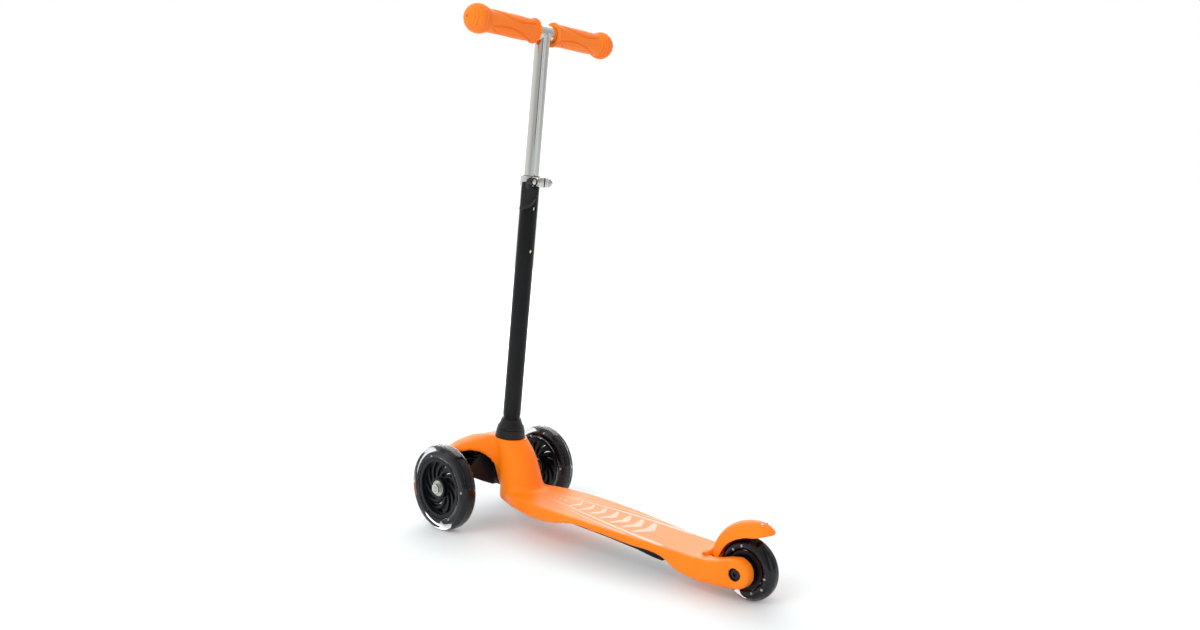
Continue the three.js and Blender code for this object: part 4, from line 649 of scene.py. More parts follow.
def inside_hood(points):
    """True within the arch drawn in by half a wall, where |u|^n + |v|^n < 1, in front of the column."""
    x, y, z = in_millimetres(points)
    rear, front, top, rim = hood_at(np.clip(np.abs(y), 0, HOOD_SPAN - 0.1)).T
    low, high = rear + SHADE_INSET, front - SHADE_INSET
    u = np.abs((2 * x - low - high) / (high - low))
    v = np.clip((z - rim) / (top - SHADE_INSET - rim), 0, None)
    return (u**HOOD_ROUNDNESS + v**HOOD_ROUNDNESS < 1) & (x > -26) & (np.abs(y) < 72) & (z > rim - 1.2)


# Painted shade: the faces inside the hood take the black moulding in place of the orange.
skin.data.materials.append(finishes["black_moulding"][1])
faces = skin.data.polygons
middles = np.empty(len(faces) * 3)
faces.foreach_get("center", middles)
slots = inside_hood(middles.reshape(-1, 3)).astype(np.int32)
faces.foreach_set("material_index", slots)
print("lined with black:", int(slots.sum()), "of", len(faces), "faces")

# %% [markdown]
# ## The print on the board
#
# Pale ink is screen printed on the board. The pattern here is a plain sports layout made for this lesson:
# chevrons that grow towards the rear between tapering stripes, led by a row of dots. The shapes are flat
# grids dropped onto the moulding from above, so that they follow its curve, and a film's thickness is added.

# %% Chevrons, stripes and dots
ABOVE_BOARD = 90.0
FILM_LIFT, FILM_THICKNESS = 0.00008, 0.0003
CHEVRONS = np.arange(7)


def patch(name, x, y, closed_cols=False):
    """A flat sheet of quads through a grid of places, high above the board."""
    points = points_at(x, y, ABOVE_BOARD)
    rows, cols, _ = points.shape
    faces = grid_faces(rows, cols).reshape(rows - 1, cols, 4)
    if not closed_cols:
        faces = faces[:, :-1]
    return made(name, in_metres(points.reshape(-1, 3)), faces.reshape(-1, 4).tolist())


def chevron(tip, half, depth, width):
    """A bent bar whose point is at the rear: x = tip + depth * |s| over the width, its arms thinning out."""
    s = np.linspace(-1, 1, 61)
    across = np.linspace(0, 1, 7)[:, None]
    thin = 1 - 0.6 * np.abs(s) ** 1.5
    return patch("chevron", tip + depth * np.abs(s) ** 1.15 + width * thin * across, half * s)


def stripe(side, front, rear, out_front, out_rear, widest):
    """A bar along the board that swells from a point towards the rear and closes in a round end."""
    t = np.linspace(0, 1, 120)
    across = np.linspace(-0.5, 0.5, 5)[:, None]
    width = widest * t**0.9 * np.sqrt(np.clip((1 - t) / 0.06, 0, 1)) + 0.35 * (1 - t)
    y = out_front + (out_rear - out_front) * np.sin(t * math.pi / 2) + width * across
    return patch("stripe", front + (rear - front) * t, side * y)


def dot(x, radius):
    """A disc drawn as rings from its middle."""
    r = radius * np.linspace(0.02, 1, 5)[:, None]
    return patch("dot", x + r * np.cos(circle(40)), r * np.sin(circle(40)), True)


tips, halves, widths = -176 - 21.5 * CHEVRONS, 12.5 + 1.8 * CHEVRONS, 5.5 + 1.2 * CHEVRONS
motifs = [chevron(tip, half, 0.6 * half, width) for tip, half, width in zip(tips, halves, widths)]
for shape in ((-118, -345, 8.5, 31, 7.0), (-150, -290, 20.5, 37, 2.6)):
    motifs += [stripe(side, *shape) for side in (-1, 1)]
motifs += [dot(x, r) for x, r in ((-128, 1.5), (-137, 2.0), (-147, 2.6))]
print_film = joined("deck_print", motifs)
applied(
    print_film, "SHRINKWRAP", target=skin, wrap_method="PROJECT", use_project_z=True,
    use_negative_direction=True, use_positive_direction=False, offset=FILM_LIFT,
)
with editing(print_film.data) as work:
    bmesh.ops.recalc_face_normals(work, faces=work.faces)
    bmesh.ops.reverse_faces(work, faces=[face for face in work.faces if face.normal.z < 0])
applied(print_film, "SOLIDIFY", thickness=FILM_THICKNESS, offset=-1.0)
finished(print_film, 40, "deck", "pale_ink")

# %% [markdown]
# ## Turned parts of the stem
#
# Nearly all that is on the stem is turned: the collar's ring and cone, the painted tube with its two holes,
# the chrome T and the grips. A profile with sharp corners looks like paper, so one function trades each
# corner for a short curve, as a lathe tool or a mould would leave it.

# %% Profiles with eased corners, and the collar and tube
def eased(profile, reach, steps=4):
    """Each corner of a closed profile becomes a parabola that begins and ends a short reach from it."""
    p = np.asarray(profile, float)
    t = np.linspace(0, 1, steps + 1)[None, :, None]
    to_neighbours = np.roll(p, 1, 0) - p, np.roll(p, -1, 0) - p
    a, b = (
        (p + v * np.minimum(reach / np.maximum(np.linalg.norm(v, axis=1), 1e-9), 0.45)[:, None])[:, None]
        for v in to_neighbours
    )
    return ((1 - t) ** 2 * a + 2 * t * (1 - t) * p[:, None] + t**2 * b).reshape(-1, 2)


def stem_ring(name, profile, reach, sides=96):
    """A ring on the stem whose closed profile has eased corners."""
    return turned(name, eased(profile, reach), "z", sides, stem=True, closed=True)


COLLAR_BORE = 13
collar_profile = [(COLLAR_BORE, -1.5), (21.5, -1.5), (20.1, 12.5), (COLLAR_BORE, 12.5)]
collar_ring = stem_ring("collar_ring_skin", collar_profile, 1.0)
finished(collar_ring, 50, "deck", "black_moulding", "collar_ring")

cone_side = through([0, 0.16, 0.42, 0.68, 1], [[0], [0], [0.42], [0.76], [1]], np.linspace(0, 1, 24))[:, 0]
cone_profile = np.column_stack([19.1 - cone_side * 5.1, 12.8 + np.linspace(0, 14.5, 24)])
cone_profile = np.concatenate([[(COLLAR_BORE, 12.8)], cone_profile, [(COLLAR_BORE, 27.3)]])
collar_cone = stem_ring("collar_cone_skin", cone_profile, 0.7)
finished(collar_cone, 50, "deck", "black_moulding", "collar_cone")

tube_profile = [
    (10.7, -36), (TUBE, -36), (TUBE, 27.6), (11.9, 27.6), (12.1, 30), (TUBE, 34.6), (TUBE, TUBE_TOP),
    (11.5, TUBE_TOP), (11.5, 41.6), (10.7, 27.6),
]
lower_tube = stem_ring("lower_tube_skin", tube_profile, 0.35, 128)
height_holes = [rod(3, -26, 0, "x", (0, 0, level), 40, True) for level in (UPPER_HOLE, BUTTON_HOLE)]
worked(lower_tube, "DIFFERENCE", *height_holes, rod(2.8, 0, 26, "x", STEM_SCREW, 32, True))
finished(lower_tube, 35, "deck", "black_powder_coat", "lower_tube")

# %% [markdown]
# The handlebar is two chromed tubes welded in a T. The weld is a small bead along the line where the two
# cylinders meet: with both radii R, a point at angle t round the post lies R |sin t| below the crossbar's
# axis. Its ripple is what a welder's steps leave.

# %% Chrome T and its weld bead
BAR_BORE, POST_FOOT, BAR_HALF = 9.5, 246, 106
BEAD, RIPPLE, RIPPLES, SUNK = 1.15, 0.12, 34, 0.25
post = rod(BAR, POST_FOOT, STEM_LENGTH, sides=128, stem=True, name="t_bar_skin")
worked(post, "UNION", rod(BAR, -BAR_HALF, BAR_HALF, "y", STEM_TOP, 128, True))
worked(
    post, "DIFFERENCE", rod(BAR_BORE, POST_FOOT - 6, STEM_LENGTH - BAR_BORE / 2, sides=96, stem=True),
    rod(BAR_BORE, -BAR_HALF - 6, BAR_HALF + 6, "y", STEM_TOP, 96, True),
    rod(2.9, -22, 0, "x", (0, 0, BUTTON_HOLE), 40, True),
)
finished(post, 35, "bar", "bright_chrome", "t_bar", slot="chrome")

around, bead = circle(160)[:, None], circle(12)
thick = BEAD + RIPPLE * np.sin(RIPPLES * around)
reach = BAR - SUNK + thick * np.cos(bead)
below = BAR * np.abs(np.sin(around)) - SUNK + thick * np.sin(bead)
bead_rings = points_at(reach * np.cos(around), reach * np.sin(around), STEM_LENGTH - below)
finished(lofted("weld_bead", bead_rings, True, True), 60, "bar", "bright_chrome", slot="chrome")

# %% [markdown]
# The grips are soft rubber: a flange, a handle with long raised leaves, and a ball with fine rings so that a
# small hand stops there. The relief is a function of the angle and the place along the grip, subtracted from
# the turned radius, so it needs no cuts.

# %% Rubber grips with leaf relief
GRIP, LIP, KNOB, KNOB_Y = 14.7, 16.6, 18.8, 113.9
GRIP_START, AROUND = 19.4, circle(240)
KNOB_GROOVES, GROOVE_DEPTH, GROOVE_WIDTH = (-27, -13, 1, 34, 47, 60, 72), 1.15, 2.8
LEAF_EDGE, LEAF_RISE = 1.3, 0.6
GRIP_ENDS = np.array([(2.0, -0.15), (1.6, -0.5), (1.6, -3), (0, -3.1)]) + [0, KNOB_Y + KNOB]
GRIP_BORE = np.array([
    (0, 106.3), (11.1, 106.3), (11.1, 17.0), (16.4, 17.0), (LIP, 17.25), (LIP, 18.55), (16.4, 18.8), (15.0, 18.9),
    (14.75, 19.2),
])


def grip_rings(side):
    """Radius = profile - grooves: two crossing waves edge the leaves, and rings run round the ball."""
    neck_angle = math.acos(GRIP / KNOB)
    neck = KNOB_Y - KNOB * math.sin(neck_angle)
    polar = np.linspace(-neck_angle, math.radians(83), 90)[1:]
    y = np.concatenate([np.linspace(GRIP_START, neck, 150), KNOB_Y + KNOB * np.sin(polar)])[:, None]
    radius = np.concatenate([np.full(150, GRIP), KNOB * np.cos(polar)])[:, None]
    fillet = np.exp(-(((y - neck) / 3.0) ** 2)) * 0.9
    radius = radius + np.where(y < neck + 3, fillet, fillet * 0.6)
    latitude = np.degrees(np.arcsin(np.clip((y - KNOB_Y) / KNOB, -1, 1)))
    rings = GROOVE_DEPTH * np.exp(-(((latitude - KNOB_GROOVES) / GROOVE_WIDTH) ** 2)).sum(1, keepdims=True)
    s = np.clip((y - GRIP_START) / (neck - GRIP_START), 0, 1)
    swing = 0.62 * np.sin(math.pi * s) * side
    lean = AROUND + 0.9 * (s - 0.5) * side
    waves = np.sin(1.5 * (lean - swing)), np.sin(1.5 * (lean + swing))
    edge = np.minimum(np.abs(waves[0]), np.abs(waves[1]))
    depth = LEAF_EDGE * np.exp(-((edge / 0.1) ** 2)) - LEAF_RISE * np.clip(-waves[0] * waves[1] * 6, 0, 1)
    relief = np.where((s > 0.02) & (s < 0.98), depth, 0) * np.clip(np.minimum(s, 1 - s) * 14, 0, 1)
    return about_y(radius - relief - rings, AROUND, y)


for side, label in SIDES:
    flange, end = (about_y(profile[:, :1], AROUND, profile[:, 1:]) for profile in (GRIP_BORE, GRIP_ENDS))
    rings = np.concatenate([flange, grip_rings(side), end]) * [1, side, 1] + STEM_TOP
    grip = lofted(f"{label}_grip_skin", rings, stem=True)
    finished(grip, 60, "bar", "orange_rubber", f"{label}_grip")

# %% [markdown]
# ## Quick release clamp
#
# A split band squeezes the painted tube. Its two ears are drawn together by a bolt with a nut and a domed end
# on one side and a cam lever on the other, whose long leaf lies round the tube when it is shut. The parts are
# small, so each is a few turned or block shapes joined together.

# %% Band, bolt, nut, lever and pin
CLAMP, BAND_HALF = 368.6, 6.75
BOLT_LINE, CAM_LINE = (-20, 0, CLAMP), (-20, 16.7, CLAMP)
BAND_Z = (CLAMP - BAND_HALF, CLAMP + BAND_HALF)
LEVER_START, LEVER_SWEEP, LEVER_BORE = 97, 75, 16


def clamp_rod(radius, low, high, axis="y", centre=BOLT_LINE, name="rod"):
    """A cylinder on the clamp's bolt, or on the cam's pin, in the stem's upright frame."""
    return rod(radius, low, high, axis, centre, 48, True, name)


def clamp_turned(name, profile, axis="y", centre=BOLT_LINE, sides=48, closed=False):
    """A turned shape on the same lines."""
    return turned(name, profile, axis, sides, centre, True, closed)


band = stem_ring("clamp_band_skin", [(13, BAND_Z[0]), (15.6, BAND_Z[0]), (15.6, BAND_Z[1]), (13, BAND_Z[1])], 0.6)
worked(band, "UNION", softened(block((-27.5, -14.3), (-8.4, 8.4), BAND_Z, True), 1.6), clamp_rod(5.6, 4, 11))
worked(
    band, "DIFFERENCE", block((-55, -6), (-1, 1), (CLAMP - 13, CLAMP + 13), True), clamp_rod(2.8, -20, 20),
)
finished(band, 38, "deck", "bright_chrome", "clamp_band")

bolt = clamp_rod(2.5, -18, 13.7, name="clamp_bolt_skin")
dome_turn = np.linspace(0, math.pi / 2, 10)
dome_profile = np.column_stack([3.8 * np.sin(dome_turn), -18.2 - 3.4 * np.cos(dome_turn)])
dome_profile = np.concatenate([dome_profile, [(3.8, -16), (0, -16)]])
worked(bolt, "UNION", clamp_turned("dome", dome_profile), clamp_rod(3.9, -2.5, 2.5, "x", CAM_LINE))
worked(bolt, "DIFFERENCE", clamp_rod(2.3, -9, 9, "x", CAM_LINE))
finished(bolt, 38, "deck", "bright_chrome", "clamp_bolt")

nut_profile = [
    (2.8, -15.7), (5.5, -15.7), (6, -15.2), (6, -13.6), (5.6, -13.4), (5.6, -12.8), (6, -12.6), (6, -10.4),
    (6.2, -10.3), (6.2, -8.7), (2.8, -8.7),
]
nut = clamp_turned("clamp_nut_skin", eased(nut_profile, 0.2, 2), sides=64, closed=True)
finished(nut, 38, "deck", "zinc_plate", "clamp_nut")


def lever_leaf():
    """A leaf round the tube: its lower edge falls as the square root of 1 - s^2, with a raised rim along it."""
    turn = np.linspace(0, 1, 70)
    angle = np.radians(LEVER_START + LEVER_SWEEP * turn)[:, None]
    top = np.interp(turn, [0, 0.2, 0.373, 0.573, 0.627, 1], [-1.8, -0.9, -0.1, 0.8, -7.6, -7.6])[:, None]
    bottom = (-10 - 31 * np.sqrt(1 - turn**2))[:, None]
    up = np.array([0, 0.02, 0.05, 0.09, 0.14, 0.2, 0.4, 0.7, 0.93, 0.985, 1])
    z = bottom + (top - bottom) * up
    from_edge = np.minimum(z - bottom, 60)
    rim = 1.9 * np.exp(-(((from_edge - 3.0) / 1.9) ** 2)) * np.clip((top - bottom) / 12, 0, 1)
    edge = np.minimum(np.minimum(from_edge, top - z) / 0.8, 1)
    outer = 18.4 - 0.5 * (1 - edge) ** 2 + rim
    r = out_and_back(outer, np.full_like(outer, LEVER_BORE))
    rings = points_at(r * np.cos(angle), r * np.sin(angle), out_and_back(z, z) + CLAMP)
    return lofted("clamp_lever_skin", rings, stem=True)


lever = lever_leaf()
cam_profile = eased([(0, -4.5), (5.4, -4.5), (5.4, 4.5), (0, 4.5)], 0.5)
worked(
    lever, "UNION", softened(block((-20, -11.5), (13, 19.4), (CLAMP - 10, CLAMP + 2.8), True), 0.8),
    clamp_turned("cam", cam_profile, "x", CAM_LINE, 64),
)
worked(
    lever, "DIFFERENCE",
    block((-22.8, -17.2), (CAM_LINE[1] - 11.4, CAM_LINE[1] + 4.2), (CLAMP - 10.2, CLAMP + 10.2), True),
    clamp_rod(2.3, -9, 9, "x", CAM_LINE),
)
finished(lever, 38, "lever", "glossy_black", "clamp_lever")

pin_profile = [
    (0, -5.3), (2.8, -5.25), (3.5, -4.9), (3.5, -4.55), (2.0, -4.5), (2.0, 4.5), (3.5, 4.55), (3.5, 4.9), (2.8, 5.25),
    (0, 5.3),
]
finished(clamp_turned("lever_pin_skin", pin_profile, "x", CAM_LINE), 38, "deck", "bright_chrome", "lever_pin")

# %% [markdown]
# ## Wheels
#
# Each tyre is clear polyurethane cast over a dark moulded core, so a bright rim shows round the wheel and a
# few small lamps show through its side. The clear part is a turned ring. The core's outer radius is a
# function of the angle as well: it drops in two V shaped notches, where the clear material shows through.

# %% Clear tyre, core and lamps
FRONT_TYRE = [(43.3, 10.32), (48.3, 12), (54.3, 11.64), (58.0, 9.36), (60, 4.08)]
REAR_TYRE = [(23.3, 10.08), (27.56, 11.52), (31.54, 10.32), (35.09, 6.96), (37.5, 2.4)]
FRONT_CORE = [(43.9, 8.4), (45.0, 9.8), (47.4, 10.0), (49.6, 8.7), (51.0, 5.2)]
REAR_CORE = [(23.9, 8.4), (25.2, 9.6), (27.4, 9.8), (30.2, 8.2), (32.2, 4.8)]
NO_LIMIT = 99.0
LAMP_RADIUS, LAMP_RISE, LAMP_ROOT = 1.5, 1.1, 0.8


def mirrored_loop(side, count):
    """A smooth tread curve from one bead to the other, cut into equal steps of its length."""
    rows = np.concatenate([side, np.array(side)[::-1] * [1, -1]])
    length = np.concatenate([[0.0], np.cumsum(np.linalg.norm(np.diff(rows, axis=0), axis=1))])
    return through(length, rows, np.linspace(0, length[-1], count))


def tyre(name, half_profile, centre, body, node):
    """The clear ring: tread curve outside, straight bead inside."""
    piece = turned(name, mirrored_loop(half_profile, 44), "y", 160, centre, closed=True)
    return finished(piece, 50, body, "clear_tyre", node)


def core(name, half_profile, centre, body, notches, spread):
    """r = min(profile, limit); the limit falls in a V at each notch angle."""
    curve = mirrored_loop(half_profile, 40)
    angle = circle(480)
    limit = np.full_like(angle, NO_LIMIT)
    top, half = half_profile[-1][0] + 0.5, math.radians(spread)
    for degrees, depth in notches:
        off = np.abs(np.angle(np.exp(1j * (angle - math.radians(degrees)))))
        limit = np.minimum(limit, np.where(off < half, top - depth * (1 - off / half), NO_LIMIT))
    r = np.minimum(curve[:, :1], np.maximum(limit, curve[:, :1].min() + 0.4))
    return finished(lofted(name, about_y(r, angle, curve[:, 1:]) + centre, True), 40, body, "tyre_core")


def lamps(name, places, reach, centre, body):
    """Small domes on both faces of the core, at each radius and angle."""
    arc = np.linspace(0, math.pi / 2, 7)
    parts = []
    for radius, degrees in places:
        a = math.radians(degrees)
        for side in (-1, 1):
            place = np.array(centre) + [radius * math.cos(a), side * reach, radius * math.sin(a)]
            dome = np.column_stack([LAMP_RADIUS * np.cos(arc), side * LAMP_RISE * np.sin(arc)])
            root = [(0, -side * LAMP_ROOT), (LAMP_RADIUS, -side * LAMP_ROOT)]
            parts.append(turned("lamp", np.concatenate([root, dome]), "y", 20, place))
    return finished(joined(name, parts), 50, body, "lamp_lens")


# %% [markdown]
# The front hubs are black nylon with eleven swept pockets in each face, so that the wheel looks like a
# turbine. Each pocket is bounded by two equal spirals, and a narrow slot runs through the web at its floor.
# The rear hub is plain. Bearings have a ground outer ring, a pressed shield in a shallow groove and an inner
# ring.

# %% Hubs, bearings and the three wheels
BLADES = 11
PITCH = 2 * math.pi / BLADES
BLADE_START, BLADE_SPAN, BLADE_SWEEP = 16.4, 19.7, 1.5
POCKET_SHARE, SLOT_SHARE, WEB_HALF, HUB_DEPTH = 0.3, 0.05, 1.2, 8
FRONT_HUB, REAR_HUB = 43, 23


def hub_blank(name, radius, centre):
    """The turned hub: boss, web and rim, mirrored about its middle."""
    rim = radius - 5.5
    side = [(6, 0), (6, 4), (11.3, 4), (11.3, 11), (14.7, 11), (14.7, 4.5), (rim, 4.5), (rim, 10), (radius, 10)]
    profile = eased([*side, *((r, -y) for r, y in side[:0:-1])], 0.5, 3)
    return turned(name, profile, "y", 144, centre, closed=True)


def blade_opening(index, centre, share_of_pitch, low, high):
    """Between two spirals: the angle grows with the radius by one and a half pitches."""
    share = np.linspace(0, 1, 16)
    radius = BLADE_START + share * BLADE_SPAN
    angle = (index + BLADE_SWEEP * share) * PITCH
    spread = PITCH * share_of_pitch
    a, r = out_and_back(angle - spread, angle + spread), out_and_back(radius, radius)
    return lofted("opening", np.stack([about_y(r, a, y) for y in (low, high)]) + centre)


def front_hub(name, centre):
    """The hub with its pockets in both faces and the slots through its web."""
    hub = hub_blank(name, FRONT_HUB, centre)
    cuts = (
        (POCKET_SHARE, WEB_HALF, HUB_DEPTH), (POCKET_SHARE, -HUB_DEPTH, -WEB_HALF), (SLOT_SHARE, -HUB_DEPTH, HUB_DEPTH),
    )
    for cut in cuts:
        worked(hub, "DIFFERENCE", joined("openings", [blade_opening(k, centre, *cut) for k in range(BLADES)]))
    return softened(hub, 0.7, 50, 2)


def bearings(node, centre, body):
    """Two shielded bearings, their open faces outwards."""
    for side, label in SIDES:
        profile = np.array([
            (4.3, 4), (11, 4), (11, 11), (9.5, 11), (9.3, 10.5), (6.7, 10.5), (6.4, 11), (4.3, 11),
        ]) * [1, side]
        ring = turned(f"{node}_{label}_skin", eased(profile, 0.3, 3), "y", 64, centre, closed=True)
        finished(ring, 38, body, "zinc_plate", f"{node}_{label}")


for side, label in SIDES:
    centre, body = (0, side * WHEEL_Y, FRONT_RADIUS), f"{label}_wheel"
    tyre(f"{label}_tyre_skin", FRONT_TYRE, centre, body, f"{label}_front_tyre")
    core(f"{label}_tyre_core", FRONT_CORE, centre, body, ((94, 9), (-97, 8)), 7.5)
    lamps(f"{label}_tyre_lamps", ((45.8, 71), (51, 176), (46.5, -121)), 10.2, centre, body)
    finished(front_hub(f"{label}_hub_skin", centre), 40, body, "black_hub", f"{label}_front_hub")
    bearings(f"{label}_front_bearing", centre, body)

tyre("rear_tyre_skin", REAR_TYRE, REAR_AXLE, "rear_wheel", "rear_tyre")
core("rear_tyre_core", REAR_CORE, REAR_AXLE, "rear_wheel", ((107, 8), (-73, 9)), 13)
rear_lamps = ((26.5, 51), (28, 79), (27, -172), (29, -144), (27, -112))
lamps("rear_tyre_lamps", rear_lamps, 9.9, REAR_AXLE, "rear_wheel")
finished(hub_blank("rear_hub_skin", REAR_HUB, REAR_AXLE), 40, "rear_wheel", "black_hub", "rear_hub")
bearings("rear_bearing", REAR_AXLE, "rear_wheel")

# %% [markdown]
# ## Fender brake
#
# The fender is a moulded blade that arches over the rear wheel. Along it run direction, radius, width and
# crown, and across it the surface falls as |s|^2.3 from the middle, so it is flat on top and turns down at
# its sides. Two eyes hold it on the hinge pin.

# %% Fender blade
FENDER_SHARES = np.array([
    [0.08, 0.87, 0.69, 0.72], [0.16, 0.868, 0.7, 0.8], [0.27, 0.867, 0.71, 0.86], [0.42, 0.869, 0.76, 0.9],
    [0.6, 0.884, 0.87, 0.96], [0.76, 0.908, 0.94, 1], [0.9, 0.935, 0.99, 1], [1.04, 0.97, 1, 0.95],
    [1.17, 1, 0.99, 0.88], [1.28, 1.006, 0.97, 0.76], [1.375, 1, 0.95, 0.6],
])
FENDER = FENDER_SHARES * [90, 60, 17, 15.5]
FENDER_START, FENDER_END, TAIL_START, TAIL_LENGTH = 7.2, 123.7, 101, 22.9
FENDER_THICKNESS = 3.0


def fender_rings(steps=64, across=45):
    """Rings of the blade, outer face then inner face; towards the tail the width closes in a round end."""
    share = np.sin(np.linspace(0, math.pi / 2, steps)) ** 0.9
    angle = FENDER_START + (FENDER_END - FENDER_START) * share
    radius, half, crown = through(FENDER[:, 0], FENDER[:, 1:], angle).T[:, :, None]
    tail = np.clip((angle[:, None] - TAIL_START) / TAIL_LENGTH, 0, 1)
    half = half * (1 - tail**2.2) ** 0.75
    crown = crown * (1 - tail**2.6) ** 0.75
    s = np.sin(np.linspace(-math.pi / 2, math.pi / 2, across))
    outer = radius - crown * np.abs(s) ** 2.3
    r = out_and_back(outer, outer - FENDER_THICKNESS)
    return about_y(r, np.radians(angle)[:, None], out_and_back(s * half, s * half)) + REAR_AXLE


fender = softened(lofted("rear_fender_skin", fender_rings()), 1.15, 50, 4)
worked(fender, "UNION", *rod_pair(4.6, 4, 12, HINGE))
worked(fender, "DIFFERENCE", rod(HINGE_BORE, -24, 24, "y", HINGE, 32), rod(4.9, -4, 4, "y", HINGE))
finished(fender, 45, "fender", "orange_moulding", "rear_fender")

# %% [markdown]
# ## Small parts
#
# The front axles are turned, and so are thin black cups in the fork's holes, which are painted shade in those
# recesses. Nuts, knuckles, the steering linkage and the like are right as they are, but their edges are knife
# sharp, so a copy of each solid gets them rounded and takes the solid's place. The springs stay as they are,
# because their coils are fine already.

# %% Axles, and black cups in the fork's holes as painted shade
AXLE_PROFILE = np.array([(0, 9.5), (4, 9.5), (4, 45.1), (3.4, 45.7), (0, 45.8)])
CUP_PROFILE = np.array([(7.46, 25.1), (7.46, 31.6), (6.9, 32.0), (6.5, 31.6), (6.5, 25.6), (4.4, 25.6), (4.4, 25.1)])
for side, label in SIDES:
    stud = turned(f"{label}_axle_skin", AXLE_PROFILE * [1, side], "y", 48, (0, side * 66, FRONT_RADIUS))
    finished(stud, 38, f"{label}_steering", "zinc_plate", f"{label}_axle")
    # Painted shade: a thin black cup in each of the fork's holes, where the recess is dark.
    cup_profile = eased(CUP_PROFILE * [1, side], 0.2, 2)
    cup = turned(f"{label}_fork_shade_cup", cup_profile, "y", 64, REAR_AXLE, closed=True)
    finished(cup, 38, "deck", "black_moulding")

# %% Dressed solids
STILL_SHARP, NEARLY_FLAT = 28.0, 0.6
DRESSED = (
    ("underside_plate", "deck", "black_moulding", 0.5),
    ("lean_bolt", "deck", "zinc_plate", 0.4),
    ("steering_peg", "deck", "zinc_plate", 0.3),
    ("stem_screw", "deck", "zinc_plate", 0.3),
    ("rear_axle", "deck", "dark_steel", 0.4),
    ("rear_axle_nut", "deck", "dark_steel", 0.4),
    ("fender_pin", "deck", "zinc_plate", 0.2),
    ("carriage_beam", "carriage", "black_moulding", 0.5),
    ("rear_lean_bush", "carriage", "black_hub", 0.3),
    ("front_lean_bush", "carriage", "black_hub", 0.3),
    ("tie_rod", "tie_rod", "zinc_plate", 0.3),
    ("brake_plate", "fender", "zinc_plate", 0.3),
)
DRESSED_ON_EACH_SIDE = (
    ("knuckle", "black_moulding", 0.5),
    ("kingpin", "zinc_plate", 0.3),
    ("steering_arm", "zinc_plate", 0.3),
    ("tie_pin", "zinc_plate", 0.2),
    ("axle_nut", "bright_chrome", 0.5),
)
CARRIED = {
    "left_centring_spring": "spring_steel", "right_centring_spring": "spring_steel", "snap_spring": "spring_steel",
    "fender_spring": "spring_steel", "snap_button": "brass_plate", "left_front_spacer": "zinc_plate",
    "right_front_spacer": "zinc_plate", "rear_spacer": "zinc_plate",
}


def dressed(node, body, finish, bevel_mm):
    """A copy of a solid with its points merged and its sharp edges rounded."""
    copy = linked(f"{node}_finish", nodes[node].data.copy())
    with editing(copy.data) as work:
        bmesh.ops.remove_doubles(work, verts=work.verts, dist=SAME_PLACE)
        bmesh.ops.dissolve_limit(work, angle_limit=math.radians(NEARLY_FLAT), verts=work.verts, edges=work.edges)
    return finished(softened(copy, bevel_mm, STILL_SHARP, 2), 35, body, finish, node)


for solid in DRESSED:
    dressed(*solid)
for _, label in SIDES:
    for part, finish, bevel_mm in DRESSED_ON_EACH_SIDE:
        dressed(f"{label}_{part}", f"{label}_steering", finish, bevel_mm)
for node, finish in CARRIED.items():
    for slot in nodes[node].material_slots:
        slot.material = finishes[finish][1]

# %% [markdown]
# Two black plates close the hood's space in front of the tie rod, so that no light shows under the arch: they are
# painted shade. They hang from the hood's inside. Each follows the arch above and the carriage's edge below.

# %% Black plates inside the hood, as painted shade
PLATE_REAR, PLATE_FRONT, PLATE_DROP = 25.0, 26.6, 2.2
out = np.linspace(19, 68.5, 40)
rear, front, crest, rim = hood_at(out).T
u = np.abs((2 * PLATE_FRONT - rear - front) / (front - rear))
high = rim + (crest - rim) * np.clip(1 - u**HOOD_ROUNDNESS, 0, 1) ** (1 / HOOD_ROUNDNESS) - PLATE_DROP
low = np.interp(out, [19, 30, 45, 54, 68.5], [62, 63, 68, 71, 78])
corners = ((PLATE_REAR, low), (PLATE_FRONT, low), (PLATE_FRONT, high), (PLATE_REAR, high))
for side, label in SIDES:
    # Painted shade: a dark sheet on each side, where the arch is dark.
    rings = np.stack([points_at(x, side * out, z) for x, z in corners], 1)
    plate = softened(lofted(f"{label}_hood_shade_plate", rings), 0.3, 50, 2)
    finished(plate, 38, "deck", "black_moulding")

# %% [markdown]
# ## Floor, backdrop and light
#
# The photograph is a catalogue shot: white all round, with one broad soft shadow. The floor is a white
# diffuse sheet that keeps the shadow, and the camera sees light added to it, more of it further away, so that
# it meets the white background without an edge. The world is white to the camera and through clear parts,
# and lights the scene more dimly. In reflections it shows light and dark bands round the horizon, as a
# studio's panels and the gaps between them do. They draw the grey lines that tell the eye that a tube is
# chromed.

# %% White floor
FLOOR_HALF, FLOOR_DROP = 6, -0.00005
WHITE = (1, 1, 1, 1)


def white_floor():
    """Diffuse white, plus light that only camera rays see, more of it further from the scooter."""
    material, tree, shader = surface("white_studio_floor", Base_Color=linear("#E8EDEE"), Roughness=0.9)
    path = add_node(tree, "ShaderNodeLightPath")
    place = add_node(tree, "ShaderNodeTexCoord")
    away = add_node(tree, "ShaderNodeVectorMath", {"operation": "LENGTH"}, [(place.outputs["Object"], 0)])
    fade = add_node(
        tree, "ShaderNodeMapRange", {"interpolation_type": "SMOOTHSTEP"}, [(away.outputs["Value"], "Value")],
        From_Min=0.5, From_Max=1.5, To_Min=0.07, To_Max=1.0,
    )
    gain = maths(tree, "MULTIPLY", path.outputs["Is Camera Ray"], fade.outputs["Result"])
    shader.inputs["Emission Color"].default_value = WHITE
    tree.links.new(gain, shader.inputs["Emission Strength"])
    return material


around_floor = [(x * FLOOR_HALF, y * FLOOR_HALF, FLOOR_DROP) for x, y in ((-1, -1), (1, -1), (1, 1), (-1, 1))]
floor = made("floor", around_floor, [(0, 1, 2, 3)])
floor.data.materials.append(white_floor())

